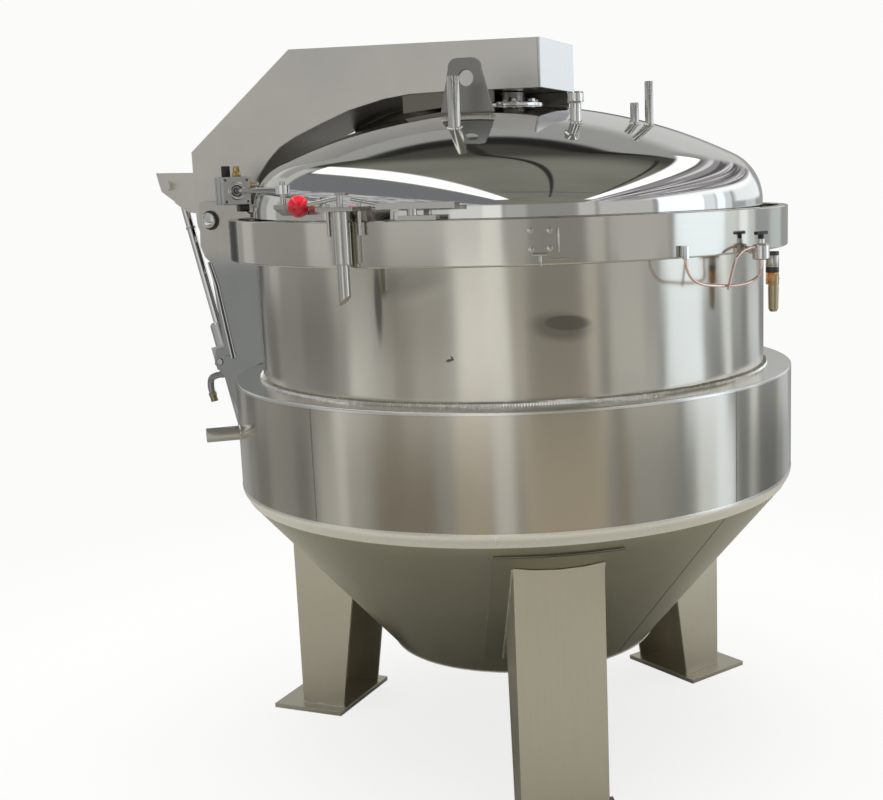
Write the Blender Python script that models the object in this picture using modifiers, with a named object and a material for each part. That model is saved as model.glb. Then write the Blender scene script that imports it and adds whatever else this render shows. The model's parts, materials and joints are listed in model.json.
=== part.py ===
"""Industrial jacketed pressure cooker with a swing-up quick-opening lid.

Metres, +Z up, floor at z = 0.  Everything is laid out from the vessel's own
vertical axis; the root empty shifts it so that the origin is at the middle of
the footprint's bounding box.  The lid hinge is at the back (+Y), the valve
group near the front (-Y) and the safety interlock on the left (-X).
"""
import math

import bmesh
import bpy
from mathutils import Matrix, Vector

# ---------------------------------------------------------------- dimensions
SHIFT = (0.0177, -0.1547)       # vessel axis in the part's frame
N = 72                          # sides of the large turned pieces
GAP = 0.0003                    # between pieces that touch

R_SHELL = 0.606                 # pot outer radius
T_SHELL = 0.008
Z_POT_LOW = 0.700               # pot wall to pot bottom
POT_DEPTH = 0.278               # depth of the pot's dished bottom

R_RING = 0.6622                 # clamp ring
Z_RING_TOP = 1.3096
Z_RING_LOW = 1.2174
R_RECESS = 0.640                # the ring's recess for the lid rim
Z_SEAT = 1.2440

R_JACKET = 0.6714
Z_JACKET_TOP = 0.9373
Z_JACKET_LOW = 0.6731
T_JACKET = 0.008
R_CONE_LOW = 0.325
Z_CONE_LOW = 0.262
Z_BOTTOM = 0.207

R_LID = 0.604
T_LID = 0.008
LID_CROWN = 1.21                # crown radius of the dished lid
LID_KNUCKLE = 0.12
Z_LID_TANGENT = 1.322
R_RIM = 0.614
Z_RIM = (1.2500, 1.2900)

HINGE = (0.7718, 1.3025)        # lid hinge axis (y, z)
ARM_HALF = 0.110                # half the width of the arm's box section
ARM_T = 0.006
BR_IN = 0.116                   # hinge bracket, inner face
BR_T = 0.012
EAR_PIN = (0.9579, 1.3916)      # upper end of the lift cylinder
LIFT_LOW = (0.8422, 0.9250)     # trunnion of the lift cylinder
LOCK_Z = 1.3745                 # height of the lock cylinder's axis
LOCK_REAR = (-0.139, 0.712)     # its rear pivot on the arm (x, y)
LOCK_POST = (-0.606, 0.245)     # its rod's pin on the lid (x, y)

LEG_AZ = (180.0, 60.0, -60.0)
LEG_FACE = 0.6132
LEG_HALF = 0.0952
LEG_T = 0.006
LEG_IN_LOW = 0.4905
LEG_IN_SLOPE = 0.144
Z_FOOT = 0.012

# ---------------------------------------------------------------- scene
for o in list(bpy.data.objects):
    bpy.data.objects.remove(o, do_unlink=True)

COL = bpy.data.collections.new("pressure_cooker")
CUT = bpy.data.collections.new("cutters")
bpy.context.scene.collection.children.link(COL)
bpy.context.scene.collection.children.link(CUT)

ROOT = bpy.data.objects.new("cooker_root", None)
ROOT.location = (SHIFT[0], SHIFT[1], 0.0)
COL.objects.link(ROOT)

MATS = {}


def mat(name, color, rough, metal):
    m = bpy.data.materials.new(name)
    m.use_nodes = True
    b = m.node_tree.nodes["Principled BSDF"]
    b.inputs["Base Color"].default_value = (*color, 1.0)
    b.inputs["Roughness"].default_value = rough
    b.inputs["Metallic"].default_value = metal
    MATS[name] = m


mat("brushed_stainless", (0.55, 0.53, 0.49), 0.32, 1.0)
mat("polished_stainless", (0.70, 0.70, 0.69), 0.06, 1.0)
mat("arm_stainless", (0.50, 0.48, 0.43), 0.42, 1.0)
mat("leg_stainless", (0.45, 0.44, 0.38), 0.45, 1.0)
mat("pot_inside_stainless", (0.58, 0.57, 0.55), 0.30, 1.0)
mat("aluminium_cylinder", (0.60, 0.61, 0.62), 0.40, 1.0)
mat("chrome_rod", (0.78, 0.78, 0.78), 0.10, 1.0)
mat("red_knob", (0.65, 0.02, 0.05), 0.25, 0.0)
mat("black_plastic", (0.03, 0.03, 0.035), 0.45, 0.0)
mat("copper_tube", (0.70, 0.38, 0.24), 0.28, 1.0)
mat("brass_fitting", (0.62, 0.46, 0.20), 0.30, 1.0)


def put(ob, matname, parent=None, cutter=False):
    """Put an object in its collection, under the root, with its material."""
    (CUT if cutter else COL).objects.link(ob)
    ob.parent = parent or ROOT
    if cutter:
        ob.hide_render = True
        ob.display_type = 'WIRE'
    else:
        ob.data.materials.clear()
        ob.data.materials.append(MATS[matname])
    return ob


def mesh_from_bm(name, bm):
    bmesh.ops.recalc_face_normals(bm, faces=bm.faces)
    me = bpy.data.meshes.new(name)
    bm.to_mesh(me)
    bm.free()
    return me


def smooth(ob, deg=32.0):
    ob.data.shade_smooth()
    ob.data.set_sharp_from_angle(angle=math.radians(deg))
    return ob


def turned(name, profile, matname, closed=True, steps=N, loc=(0, 0, 0),
           rot=None, parent=None, cutter=False):
    """A turned piece: its profile (r, z) runs down the outer side."""
    me = bpy.data.meshes.new(name)
    n = len(profile)
    edges = [(i, i + 1) for i in range(n - 1)] + ([(n - 1, 0)] if closed else [])
    me.from_pydata([(r, 0.0, z) for r, z in profile], edges, [])
    ob = bpy.data.objects.new(name, me)
    m = ob.modifiers.new("turn", 'SCREW')
    m.axis = 'Z'
    m.angle = 2 * math.pi
    m.steps = steps
    m.render_steps = steps
    m.use_merge_vertices = True
    m.merge_threshold = 0.00001
    m.use_smooth_shade = True
    put(ob, matname, parent, cutter)
    ob.location = loc
    if rot is not None:
        ob.rotation_euler = rot
    return ob


def arc_solid(name, profile, a0, a1, matname, step=5.0, parent=None, cutter=False):
    """A closed profile (r, z) swept round the vessel axis between azimuths
    (degrees, 0 = front, -Y, positive towards +X)."""
    bm = bmesh.new()
    a0, a1 = a0 + 0.016, a1 - 0.016
    th = math.radians(a0 - 90.0)
    vs = [bm.verts.new((r * math.cos(th), r * math.sin(th), z)) for r, z in profile]
    es = [bm.edges.new((vs[i], vs[(i + 1) % len(vs)])) for i in range(len(vs))]
    bmesh.ops.spin(bm, geom=vs + es, cent=(0, 0, 0), axis=(0, 0, 1),
                   angle=math.radians(a1 - a0), steps=round((a1 - a0) / step))
    ends = [e for e in bm.edges if len(e.link_faces) == 1]
    bmesh.ops.holes_fill(bm, edges=ends, sides=0)
    ob = bpy.data.objects.new(name, mesh_from_bm(name, bm))
    return put(smooth(ob), matname, parent, cutter)


def outline_plate(name, outline, x0, x1, matname, holes=(), parent=None,
                  bevel=0.0, pivot=None):
    """A flat outline in the YZ plane, from x0 to x1, with round holes.
    Its origin is on the pivot (y, z) where it has one."""
    py, pz = pivot or (0.0, 0.0)
    cu = bpy.data.curves.new(name, 'CURVE')
    cu.dimensions = '2D'
    cu.fill_mode = 'BOTH'
    cu.extrude = abs(x1 - x0) / 2
    if bevel:
        cu.bevel_depth = bevel
        cu.bevel_resolution = 0
        cu.extrude -= bevel
        cu.offset = -bevel
    sp = cu.splines.new('POLY')
    sp.points.add(len(outline) - 1)
    for p, (y, z) in zip(sp.points, outline):
        p.co = (y - py, z - pz, 0.0, 1.0)
    sp.use_cyclic_u = True
    for hy, hz, hr, hn in holes:
        s2 = cu.splines.new('POLY')
        s2.points.add(hn - 1)
        for i, p in enumerate(s2.points):
            a = 2 * math.pi * i / hn
            p.co = (hy - py + hr * math.cos(a), hz - pz + hr * math.sin(a), 0.0, 1.0)
        s2.use_cyclic_u = True
    ob = bpy.data.objects.new(name, cu)
    put(ob, matname, parent)
    ob.rotation_euler = (math.pi / 2, 0, math.pi / 2)
    ob.location = ((x0 + x1) / 2, py, pz)
    return ob


def curve_to_mesh(ob, cutter=False):
    """Turn a curve object into a mesh object of the same name."""
    bpy.context.view_layer.update()
    dg = bpy.context.evaluated_depsgraph_get()
    me = bpy.data.meshes.new_from_object(ob.evaluated_get(dg))
    bm = bmesh.new()
    bm.from_mesh(me)
    bmesh.ops.remove_doubles(bm, verts=bm.verts, dist=0.00002)
    bm.to_mesh(me)
    bm.free()
    name, loc, rot, par = ob.name, ob.location.copy(), ob.rotation_euler.copy(), ob.parent
    mats = [m for m in ob.data.materials]
    bpy.data.objects.remove(ob, do_unlink=True)
    new = bpy.data.objects.new(name, me)
    (CUT if cutter else COL).objects.link(new)
    new.parent = par
    new.location = loc
    new.rotation_euler = rot
    if cutter:
        new.hide_render = True
        new.display_type = 'WIRE'
    new.data.materials.clear()
    for m in mats:
        new.data.materials.append(m)
    return new


def box(name, lo, hi, matname, bevel=0.0, parent=None, cutter=False,
        loc=(0, 0, 0), rot=(0, 0, 0)):
    bm = bmesh.new()
    bmesh.ops.create_cube(bm, size=1.0)
    c = [(lo[i] + hi[i]) / 2 for i in range(3)]
    s = [abs(hi[i] - lo[i]) for i in range(3)]
    bmesh.ops.transform(bm, matrix=Matrix.Translation(c) @ Matrix.Diagonal((*s, 1.0)), verts=bm.verts)
    ob = bpy.data.objects.new(name, mesh_from_bm(name, bm))
    put(ob, matname, parent, cutter)
    ob.location = loc
    ob.rotation_euler = rot
    if bevel:
        b = ob.modifiers.new("edge", 'BEVEL')
        b.width = bevel
        b.segments = 1
    return ob


def cyl(name, p0, p1, r, matname, sides=24, r2=None, parent=None, cutter=False):
    """A straight round bar from p0 to p1."""
    p0, p1 = Vector(p0), Vector(p1)
    d = p1 - p0
    bm = bmesh.new()
    bmesh.ops.create_cone(bm, cap_ends=True, segments=sides, radius1=r,
                          radius2=r if r2 is None else r2, depth=d.length)
    q = Vector((0, 0, 1)).rotation_difference(d.normalized())
    ob = bpy.data.objects.new(name, mesh_from_bm(name, bm))
    put(smooth(ob), matname, parent, cutter)
    ob.location = (p0 + p1) / 2
    ob.rotation_mode = 'QUATERNION'
    ob.rotation_quaternion = q
    return ob


def boolean(ob, cutter, op):
    m = ob.modifiers.new(op.lower(), 'BOOLEAN')
    m.operation = op
    m.solver = 'EXACT'
    m.object = cutter
    return m


def tube(name, pts, r, matname, parent=None, res=2, steps=None):
    """A bent tube along a smooth line through the points."""
    P = [Vector(p) for p in pts]
    path = []
    n = len(P)
    k = steps or 4
    for i in range(n - 1):
        a, b = P[max(i - 1, 0)], P[i]
        c, d = P[i + 1], P[min(i + 2, n - 1)]
        for j in range(k):
            t = j / k
            path.append(0.5 * ((2 * b) + (c - a) * t + (2 * a - 5 * b + 4 * c - d) * t * t
                               + (3 * b - a - 3 * c + d) * t ** 3))
    path.append(P[-1])
    cu = bpy.data.curves.new(name, 'CURVE')
    cu.dimensions = '3D'
    cu.bevel_depth = r
    cu.bevel_resolution = res
    cu.use_fill_caps = True
    sp = cu.splines.new('POLY')
    sp.points.add(len(path) - 1)
    for p, q in zip(sp.points, path):
        p.co = (*q, 1.0)
    ob = bpy.data.objects.new(name, cu)
    return put(ob, matname, parent)


def pol(az, r, z):
    """A point at an azimuth round the vessel axis."""
    a = math.radians(az)
    return (r * math.sin(a), -r * math.cos(a), z)


def arc(cx, cy, r, a0, a1, n):
    return [(cx + r * math.cos(math.radians(a0 + (a1 - a0) * i / n)),
             cy + r * math.sin(math.radians(a0 + (a1 - a0) * i / n))) for i in range(n + 1)]


# ---------------------------------------------------------------- pot
turned("pot_wall", [(R_SHELL, Z_SEAT - GAP), (R_SHELL, Z_POT_LOW + GAP),
                    (R_SHELL - T_SHELL, Z_POT_LOW + GAP), (R_SHELL - T_SHELL, Z_SEAT - GAP)],
       "brushed_stainless")

ri, ro = R_SHELL - T_SHELL, R_SHELL
inner = [(ri * math.cos(math.radians(t)), Z_POT_LOW - (POT_DEPTH - T_SHELL) * math.sin(math.radians(t)))
         for t in (90, 68, 46, 22, 0)]
outer = [(ro * math.cos(math.radians(t)), Z_POT_LOW - POT_DEPTH * math.sin(math.radians(t)))
         for t in (0, 22, 46, 68, 90)]
inner[0] = (0.0, inner[0][1])
outer[-1] = (0.0, outer[-1][1])
turned("pot_bottom", inner + outer, "pot_inside_stainless", closed=False, steps=48)

# the ring is an outer band with a welded-in flange that the lid rim comes down on
C = 0.004
turned("clamp_ring", [(R_RING - C, Z_RING_TOP), (R_RING, Z_RING_TOP - C), (R_RING, Z_RING_LOW + C),
                      (R_RING - C, Z_RING_LOW), (R_RECESS, Z_RING_LOW), (R_RECESS, Z_RING_TOP)], "brushed_stainless")
turned("ring_seat", [(R_RECESS - GAP, Z_SEAT), (R_RECESS - GAP, Z_RING_LOW), (R_SHELL + GAP, Z_RING_LOW),
                     (R_SHELL + GAP, Z_SEAT)], "brushed_stainless")

# ---------------------------------------------------------------- jacket
Z_WALL_LOW = Z_JACKET_LOW + 0.014
turned("jacket_wall", [(R_JACKET, Z_JACKET_TOP - T_JACKET - GAP), (R_JACKET, Z_WALL_LOW + GAP),
                       (R_JACKET - T_JACKET, Z_WALL_LOW + GAP), (R_JACKET - T_JACKET, Z_JACKET_TOP - T_JACKET - GAP)],
       "brushed_stainless")
turned("jacket_top", [(R_JACKET, Z_JACKET_TOP), (R_JACKET, Z_JACKET_TOP - T_JACKET),
                      (R_SHELL + GAP, Z_JACKET_TOP - T_JACKET), (R_SHELL + GAP, Z_JACKET_TOP)],
       "brushed_stainless")

CONE_K = (R_JACKET - R_CONE_LOW) / (Z_JACKET_LOW - Z_CONE_LOW)
cl = math.hypot(R_JACKET - R_CONE_LOW, Z_JACKET_LOW - Z_CONE_LOW)
CN = ((Z_JACKET_LOW - Z_CONE_LOW) / cl, -(R_JACKET - R_CONE_LOW) / cl)     # outward normal (r, z)


def cone_r(z, off=0.0):
    """Radius of the cone's outer face at a height, off metres outside it."""
    return R_JACKET - (Z_JACKET_LOW - z) * CONE_K + off / CN[0]


# knuckle between wall and cone: wall foot, three points, then straight down the cone
KN = [(R_JACKET, Z_WALL_LOW), (R_JACKET - 0.0015, Z_WALL_LOW - 0.008),
      (R_JACKET - 0.0062, Z_WALL_LOW - 0.0165)]
zk = Z_JACKET_LOW - 0.0155
cone_out = KN + [(cone_r(zk), zk), (cone_r(Z_CONE_LOW), Z_CONE_LOW)]
cone_in = [(cone_r(Z_CONE_LOW, -T_JACKET), Z_CONE_LOW), (cone_r(zk + 0.008, -T_JACKET), zk + 0.008),
           (R_JACKET - T_JACKET, Z_WALL_LOW)]
cone = turned("jacket_cone", cone_out + cone_in, "brushed_stainless")

# shallow dished bottom of the jacket
sag = Z_CONE_LOW - GAP - Z_BOTTOM
rb = cone_r(Z_CONE_LOW)
RC = (rb * rb + sag * sag) / (2 * sag)
tt = math.asin(rb / RC)
fr = (1.0, 0.75, 0.5, 0.25, 0.0)
dish_out = [(RC * math.sin(tt * f), Z_BOTTOM + RC - RC * math.cos(tt * f)) for f in fr]
dish_in = [(max(r - 0.010 * f, 0.0), z + T_JACKET) for (r, z), f in zip(dish_out, fr)]
dish_out[-1] = (0.0, Z_BOTTOM)
dish_in[-1] = (0.0, Z_BOTTOM + T_JACKET)
dish_in[0] = (rb - 0.011, Z_CONE_LOW - GAP)
dish = turned("bottom_dish", list(reversed(dish_in)) + dish_out, "brushed_stainless", closed=False, steps=48)
drain = cyl("drain_cutter", (0, 0, Z_BOTTOM - 0.045), (0, 0, Z_BOTTOM + 0.004), 0.0205, None, sides=20, cutter=True)
boolean(dish, drain, 'UNION')

# ---------------------------------------------------------------- legs
PAD_T = 0.005
legcone = turned("leg_cone_cutter", [(0.0, 0.75), (cone_r(0.75, PAD_T + 0.0012), 0.75),
                                     (cone_r(0.22, PAD_T + 0.0012), 0.22), (0.0, 0.22)],
                 None, closed=False, cutter=True)
names = ("rear", "right", "left")
for nm, azd in zip(names, LEG_AZ):
    th = math.radians(azd - 90.0)          # local +X points outwards at this azimuth
    rotz = (0, 0, th)
    # bent channel: outer face, two side flanges that deepen upwards
    zt = 0.6078
    prof = [(LEG_FACE, Z_FOOT - 0.004), (LEG_FACE, zt), (0.36, zt), (LEG_IN_LOW - LEG_IN_SLOPE * 0.5, 0.5),
            (LEG_IN_LOW, Z_FOOT - 0.004)]
    cu = bpy.data.curves.new("leg_" + nm, 'CURVE')
    cu.dimensions = '2D'
    cu.fill_mode = 'BOTH'
    cu.extrude = LEG_HALF
    sp = cu.splines.new('POLY')
    sp.points.add(len(prof) - 1)
    for p, (x, z) in zip(sp.points, prof):
        p.co = (x, z, 0, 1)
    sp.use_cyclic_u = True
    leg = bpy.data.objects.new("leg_" + nm, cu)
    put(leg, "leg_stainless")
    leg = curve_to_mesh(leg)
    leg.data.transform(Matrix.Rotation(math.pi / 2, 4, 'X'))
    leg.rotation_euler = rotz
    inner_cut = box("leg_inner_cutter_" + nm, (0.20, -(LEG_HALF - LEG_T), -0.05),
                    (LEG_FACE - LEG_T, LEG_HALF - LEG_T, 0.75), None, cutter=True, rot=rotz)
    boolean(leg, inner_cut, 'DIFFERENCE')
    boolean(leg, legcone, 'DIFFERENCE')
    foot = box("foot_plate_cutter_" + nm, (0.479, -0.129, 0.0), (0.6825, 0.129, Z_FOOT), None, cutter=True, rot=rotz)
    boolean(leg, foot, 'UNION')
    # pad plate wrapped on the cone behind the leg
    z1, z0 = 0.630, 0.310
    g = -0.0040
    pp = [(cone_r(z1, PAD_T), z1), (cone_r(z0, PAD_T), z0), (cone_r(z0, g), z0), (cone_r(z1, g), z1)]
    pad = arc_solid("leg_pad_cutter_" + nm, pp, azd - 30, azd + 30, None, cutter=True)
    trim = box("leg_pad_trim_" + nm, (0.15, -0.137, 0.2), (0.9, 0.137, 0.8), None, cutter=True, rot=rotz)
    boolean(pad, trim, 'INTERSECT')
    boolean(cone, pad, 'UNION')

# ---------------------------------------------------------------- hinge brackets
by = math.sqrt(R_RING ** 2 - (BR_IN) ** 2) + 0.001
bs = math.sqrt(R_SHELL ** 2 - (BR_IN) ** 2) + 0.001
bracket = (arc(0.7980, 1.3430, 0.006, 0, 90, 3)
           + [(0.700, 1.3490), (by, 1.3150), (by, Z_RING_LOW - 0.001), (bs, Z_RING_LOW - 0.001),
              (bs, Z_JACKET_TOP + 0.001), (0.6500, Z_JACKET_TOP + 0.001), (0.7273, 0.9476),
              (0.7624, 1.1382), (0.7789, 1.1919), (0.7986, 1.2098), (0.8100, 1.2379)])
for nm, s in (("left", -1), ("right", 1)):
    x0, x1 = sorted((s * BR_IN, s * (BR_IN + BR_T)))
    outline_plate("hinge_bracket_" + nm, bracket, x0, x1, "arm_stainless",
                  holes=((HINGE[0], HINGE[1], 0.0162, 20),))
turned("hinge_pin", [(0.0, 0.141), (0.0165, 0.141), (0.019, 0.138), (0.019, BR_IN + BR_T + GAP),
                     (0.0150, BR_IN + BR_T + GAP), (0.0150, -BR_IN - BR_T - GAP),
                     (0.019, -BR_IN - BR_T - GAP), (0.019, -0.138), (0.0165, -0.141), (0.0, -0.141)],
       "chrome_rod", closed=False, steps=20, loc=(0, HINGE[0], HINGE[1]), rot=(0, math.pi / 2, 0))

# cross plate under the hinge pin, and the leaning channel that props it on the jacket
cross = box("hinge_cross_cutter", (-BR_IN + 0.0005, 0.664, 1.1880), (BR_IN - 0.0005, 0.8000, 1.1960), None, cutter=True)
COL_LEAN = math.atan2(0.790 - 0.762, 1.1875 - 0.9465)
col_len = math.hypot(0.790 - 0.762, 1.1875 - 0.9465)
column = box("hinge_column", (-0.064, -0.004, -0.004), (0.064, 0.048, col_len + 0.003), "arm_stainless",
             loc=(0, 0.755, 0.9465), rot=(-COL_LEAN, 0, 0))
col_cut = box("hinge_column_cutter", (-0.058, 0.002, -0.1), (0.058, 0.1, 0.5), None, cutter=True,
              loc=(0, 0.755, 0.9465), rot=(-COL_LEAN, 0, 0))
boolean(column, col_cut, 'DIFFERENCE')
platform = box("lift_platform_cutter", (-0.072, 0.612, Z_JACKET_TOP + GAP), (0.072, 0.806, Z_JACKET_TOP + 0.0080), None, cutter=True)
boolean(column, cross, 'UNION')
boolean(column, platform, 'UNION')
gus = [(0.6722, Z_JACKET_TOP + 0.0040), (0.6722, 0.7000), (0.7900, 0.7750), (0.8035, 0.8097), (0.8212, 0.8432),
       (0.8274, 0.8811), (0.8452, 0.8985), (0.8600, 0.9180), (0.8540, 0.9560), (0.8490, 0.9600),
       (0.8130, 0.9700), (0.8083, 0.9650), (0.7950, Z_JACKET_TOP + 0.0040)]
for nm, s in (("left", -1), ("right", 1)):
    x0, x1 = sorted((s * 0.0310, s * 0.0370))
    gp = curve_to_mesh(outline_plate("lift_gusset_cutter_" + nm, gus, x0, x1, "arm_stainless",
                                     holes=((LIFT_LOW[0], LIFT_LOW[1], 0.0102, 16),)), cutter=True)
    boolean(column, gp, 'UNION')

# ---------------------------------------------------------------- lid arm (moves with the lid hinge)
lower = [(0.1026, 1.5895), (0.2014, 1.5880), (0.2697, 1.5800), (0.3647, 1.5583), (0.4383, 1.5325),
         (0.5222, 1.5000), (0.5686, 1.4760), (0.6011, 1.4470), (0.6342, 1.4080), (0.6500, 1.3760)]
ARM_END = -0.1262
ARM_TOP_END = 1.6975
ARM_BEND = (0.5238, 1.7090)
ARM_REAR = (0.8285, 1.4738)
arm_out = ([(ARM_END, ARM_TOP_END), (ARM_END, 1.5873)] + lower + [(0.680, 1.340)]
           + arc(HINGE[0], HINGE[1], 0.0564, 180, 360, 12) + [ARM_REAR, ARM_BEND])
for nm, s in (("left", -1), ("right", 1)):
    x0, x1 = sorted((s * ARM_HALF, s * (ARM_HALF - ARM_T)))
    side = outline_plate("arm_side_" + nm, arm_out, x0, x1, "arm_stainless",
                         holes=((HINGE[0], HINGE[1], 0.0162, 20),), pivot=HINGE)
    if nm == "left":
        side_left = curve_to_mesh(side)


def strip(path, t, side):
    """A bent strip: the path and the same path moved sideways by t."""
    off = []
    n = len(path)
    for i in range(n):
        a = Vector(path[max(i - 1, 0)])
        b = Vector(path[i])
        c = Vector(path[min(i + 1, n - 1)])
        d1 = (b - a).normalized() if i > 0 else (c - b).normalized()
        d2 = (c - b).normalized() if i < n - 1 else d1
        n1 = Vector((-d1.y, d1.x)) * side
        n2 = Vector((-d2.y, d2.x)) * side
        m = (n1 + n2).normalized()
        off.append(tuple(b + m * (t / max(m.dot(n1), 0.3))))
    return list(path) + off[::-1]


XI = ARM_HALF - ARM_T - GAP
top_plate = outline_plate("arm_top_plate", strip([(ARM_END + GAP, ARM_TOP_END), ARM_BEND, ARM_REAR, (0.8283, 1.345)], ARM_T, -1),
                          -XI, XI, "arm_stainless", pivot=HINGE)
top_plate = curve_to_mesh(top_plate)
bottom_plate = outline_plate("arm_bottom_plate", strip([(ARM_END + GAP, 1.5873)] + lower + [(0.680, 1.340)], ARM_T, 1),
                             -XI, XI, "arm_stainless", pivot=HINGE)
bottom_plate = curve_to_mesh(bottom_plate)
# stiffening skirts under the arm round the lid's hub, a little above the crown of the lid
skirt = [(0.2229, 1.5900), (0.2229, 1.5440), (0.1500, 1.5510), (0.0500, 1.5590)]
near = outline_plate("arm_skirt_cutter_left", skirt + [(-0.0120, 1.5605), (-0.0120, 1.5915)], -0.1030, -0.0970, "arm_stainless", pivot=HINGE)
far = outline_plate("arm_skirt_cutter_right", skirt + [(-0.0300, 1.5605), (-0.1230, 1.5590), (-0.1230, 1.5915)], 0.0970, 0.1030,
                    "arm_stainless", pivot=HINGE)
rearw = outline_plate("arm_skirt_cutter_rear", [(0.2229, 1.5900), (0.2229, 1.5440), (0.2169, 1.5440), (0.2169, 1.5900)], -0.1030, 0.1030,
                      "arm_stainless", pivot=HINGE)
for sk in (near, far, rearw):
    boolean(bottom_plate, curve_to_mesh(sk, cutter=True), 'UNION')
box("arm_end_plate", (-ARM_HALF, ARM_END - ARM_T - GAP, 1.5873), (ARM_HALF, ARM_END - GAP, ARM_TOP_END), "arm_stainless")

# lever ears behind the arm, which carry the lift cylinder's upper pin
ear = [(0.8260, 1.4230), (0.9960, 1.4260), (0.9900, 1.4013), (0.9828, 1.3770), (0.9551, 1.3583),
       (0.9301, 1.3418), (0.9139, 1.3279), (0.8971, 1.3213), (0.8290, 1.3130), (0.8290, 1.3400), (0.8260, 1.3600)]
for nm, s in (("left", -1), ("right", 1)):
    x0, x1 = sorted((s * 0.036, s * 0.042))
    ear_ob = curve_to_mesh(outline_plate("lever_ear_cutter_" + nm, ear, x0, x1, "arm_stainless", pivot=HINGE), cutter=True)
    head = cyl("lever_pin_cutter_" + nm, (s * 0.0390, *EAR_PIN), (s * 0.0540, *EAR_PIN), 0.0120, None, sides=16, cutter=True)
    boolean(top_plate, ear_ob, 'UNION')
    boolean(top_plate, head, 'UNION')

# ---------------------------------------------------------------- lift cylinder
ld = Vector((EAR_PIN[0] - LIFT_LOW[0], EAR_PIN[1] - LIFT_LOW[1]))
LIFT_LEN = ld.length
LIFT_TILT = math.atan2(-ld.x, ld.y)          # turn about X that lays local +Z along the cylinder
BARREL = bpy.data.objects.new("lift_pivot", None)
COL.objects.link(BARREL)
BARREL.parent = ROOT
BARREL.location = (0, *LIFT_LOW)
BARREL.rotation_euler = (LIFT_TILT, 0, 0)
cap = box("lift_cylinder", (-0.0250, -0.0250, -0.0200), (0.0250, 0.0250, 0.0420), "aluminium_cylinder", parent=BARREL)
cap_bore = cyl("lift_cap_cutter", (0, 0, -0.2580), (0, 0, 0.15), 0.0125, None, sides=24, parent=BARREL, cutter=True)
nose = turned("lift_nose_cutter", [(0.0, 0.1050), (0.0165, 0.1050), (0.0220, 0.0990), (0.0220, 0.0400), (0.0, 0.0400)],
              None, closed=False, steps=24, parent=BARREL, cutter=True)
tubec = turned("lift_tube_cutter", [(0.0, -0.0180), (0.0220, -0.0180), (0.0220, -0.2650), (0.0, -0.2650)],
               None, closed=False, steps=24, parent=BARREL, cutter=True)
boolean(cap, nose, 'UNION')
boolean(cap, tubec, 'UNION')
for nm, s in (("left", -1), ("right", 1)):
    tr = cyl("lift_trunnion_cutter_" + nm, (s * 0.020, 0, 0), (s * 0.0385, 0, 0), 0.0085, None, sides=16,
             parent=BARREL, cutter=True)
    boolean(cap, tr, 'UNION')
boolean(cap, cap_bore, 'DIFFERENCE')
rod1 = turned("lift_rod", [(0.0, LIFT_LEN - 0.0440), (0.0105, LIFT_LEN - 0.0440), (0.0105, -0.0300), (0.0, -0.0300)],
              "chrome_rod", closed=False, steps=20, parent=BARREL)
fork = [(-0.0135, -0.0475), (0.0135, -0.0475), (0.0175, -0.0420)] + arc(0, 0, 0.0175, 0, 180, 8) + [(-0.0175, -0.0420)]
eye1 = curve_to_mesh(outline_plate("lift_eye_cutter", [(y, z + LIFT_LEN) for y, z in fork], -0.0125, 0.0125,
                                   "chrome_rod", parent=BARREL), cutter=True)
boolean(rod1, eye1, 'UNION')
tube("lift_elbow", [(0, 0.0236, -0.034), (0, 0.052, -0.033), (0, 0.0700, -0.038), (0, 0.0785, -0.056), (0, 0.0800, -0.100)],
     0.0096, "brass_fitting", parent=BARREL, res=3, steps=3)

# ---------------------------------------------------------------- lid
zc = Z_LID_TANGENT - math.sqrt((LID_CROWN - LID_KNUCKLE) ** 2 - (R_LID - LID_KNUCKLE) ** 2)
t0 = math.atan2(R_LID - LID_KNUCKLE, Z_LID_TANGENT - zc)


def lid_profile(off, n1=8, n2=5):
    """The dished head's outline, off metres inside it, from the edge up to the axis."""
    pts = []
    for i in range(n2):
        a = (math.pi / 2 - t0) * i / n2
        pts.append((R_LID - LID_KNUCKLE + (LID_KNUCKLE - off) * math.cos(a),
                    Z_LID_TANGENT + (LID_KNUCKLE - off) * math.sin(a)))
    for i in range(n1 + 1):
        a = t0 * (1 - i / n1)
        pts.append(((LID_CROWN - off) * math.sin(a), zc + (LID_CROWN - off) * math.cos(a)))
    pts[-1] = (0.0, pts[-1][1])
    return pts


def dome_z(r):
    return zc + math.sqrt(LID_CROWN ** 2 - r * r)


top = list(reversed(lid_profile(0.0, 6, 4))) + [(R_LID, Z_RIM[1] + GAP)]
und = [(R_LID - T_LID, Z_RIM[1] + GAP)] + lid_profile(T_LID, 4, 3)
turned("lid_dome", top + und, "polished_stainless", closed=False)
turned("lid_rim", [(R_RIM, Z_RIM[1] - 0.002), (R_RIM, Z_RIM[0]), (0.5920, Z_RIM[0]), (0.5920, Z_RIM[1]), (R_RIM - 0.002, Z_RIM[1])],
       "brushed_stainless")
ZA = dome_z(0.0)
turned("lid_hub", [(0.0, 1.5862), (0.046, 1.5862), (0.046, ZA + 0.0055), (0.0880, ZA + 0.0055), (0.0900, ZA + 0.0035), (0.0900, dome_z(0.09) + 0.0012),
                         (0.045, dome_z(0.045) + 0.0012), (0.0, ZA + 0.0012)], "brushed_stainless", closed=False, steps=48)

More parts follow.
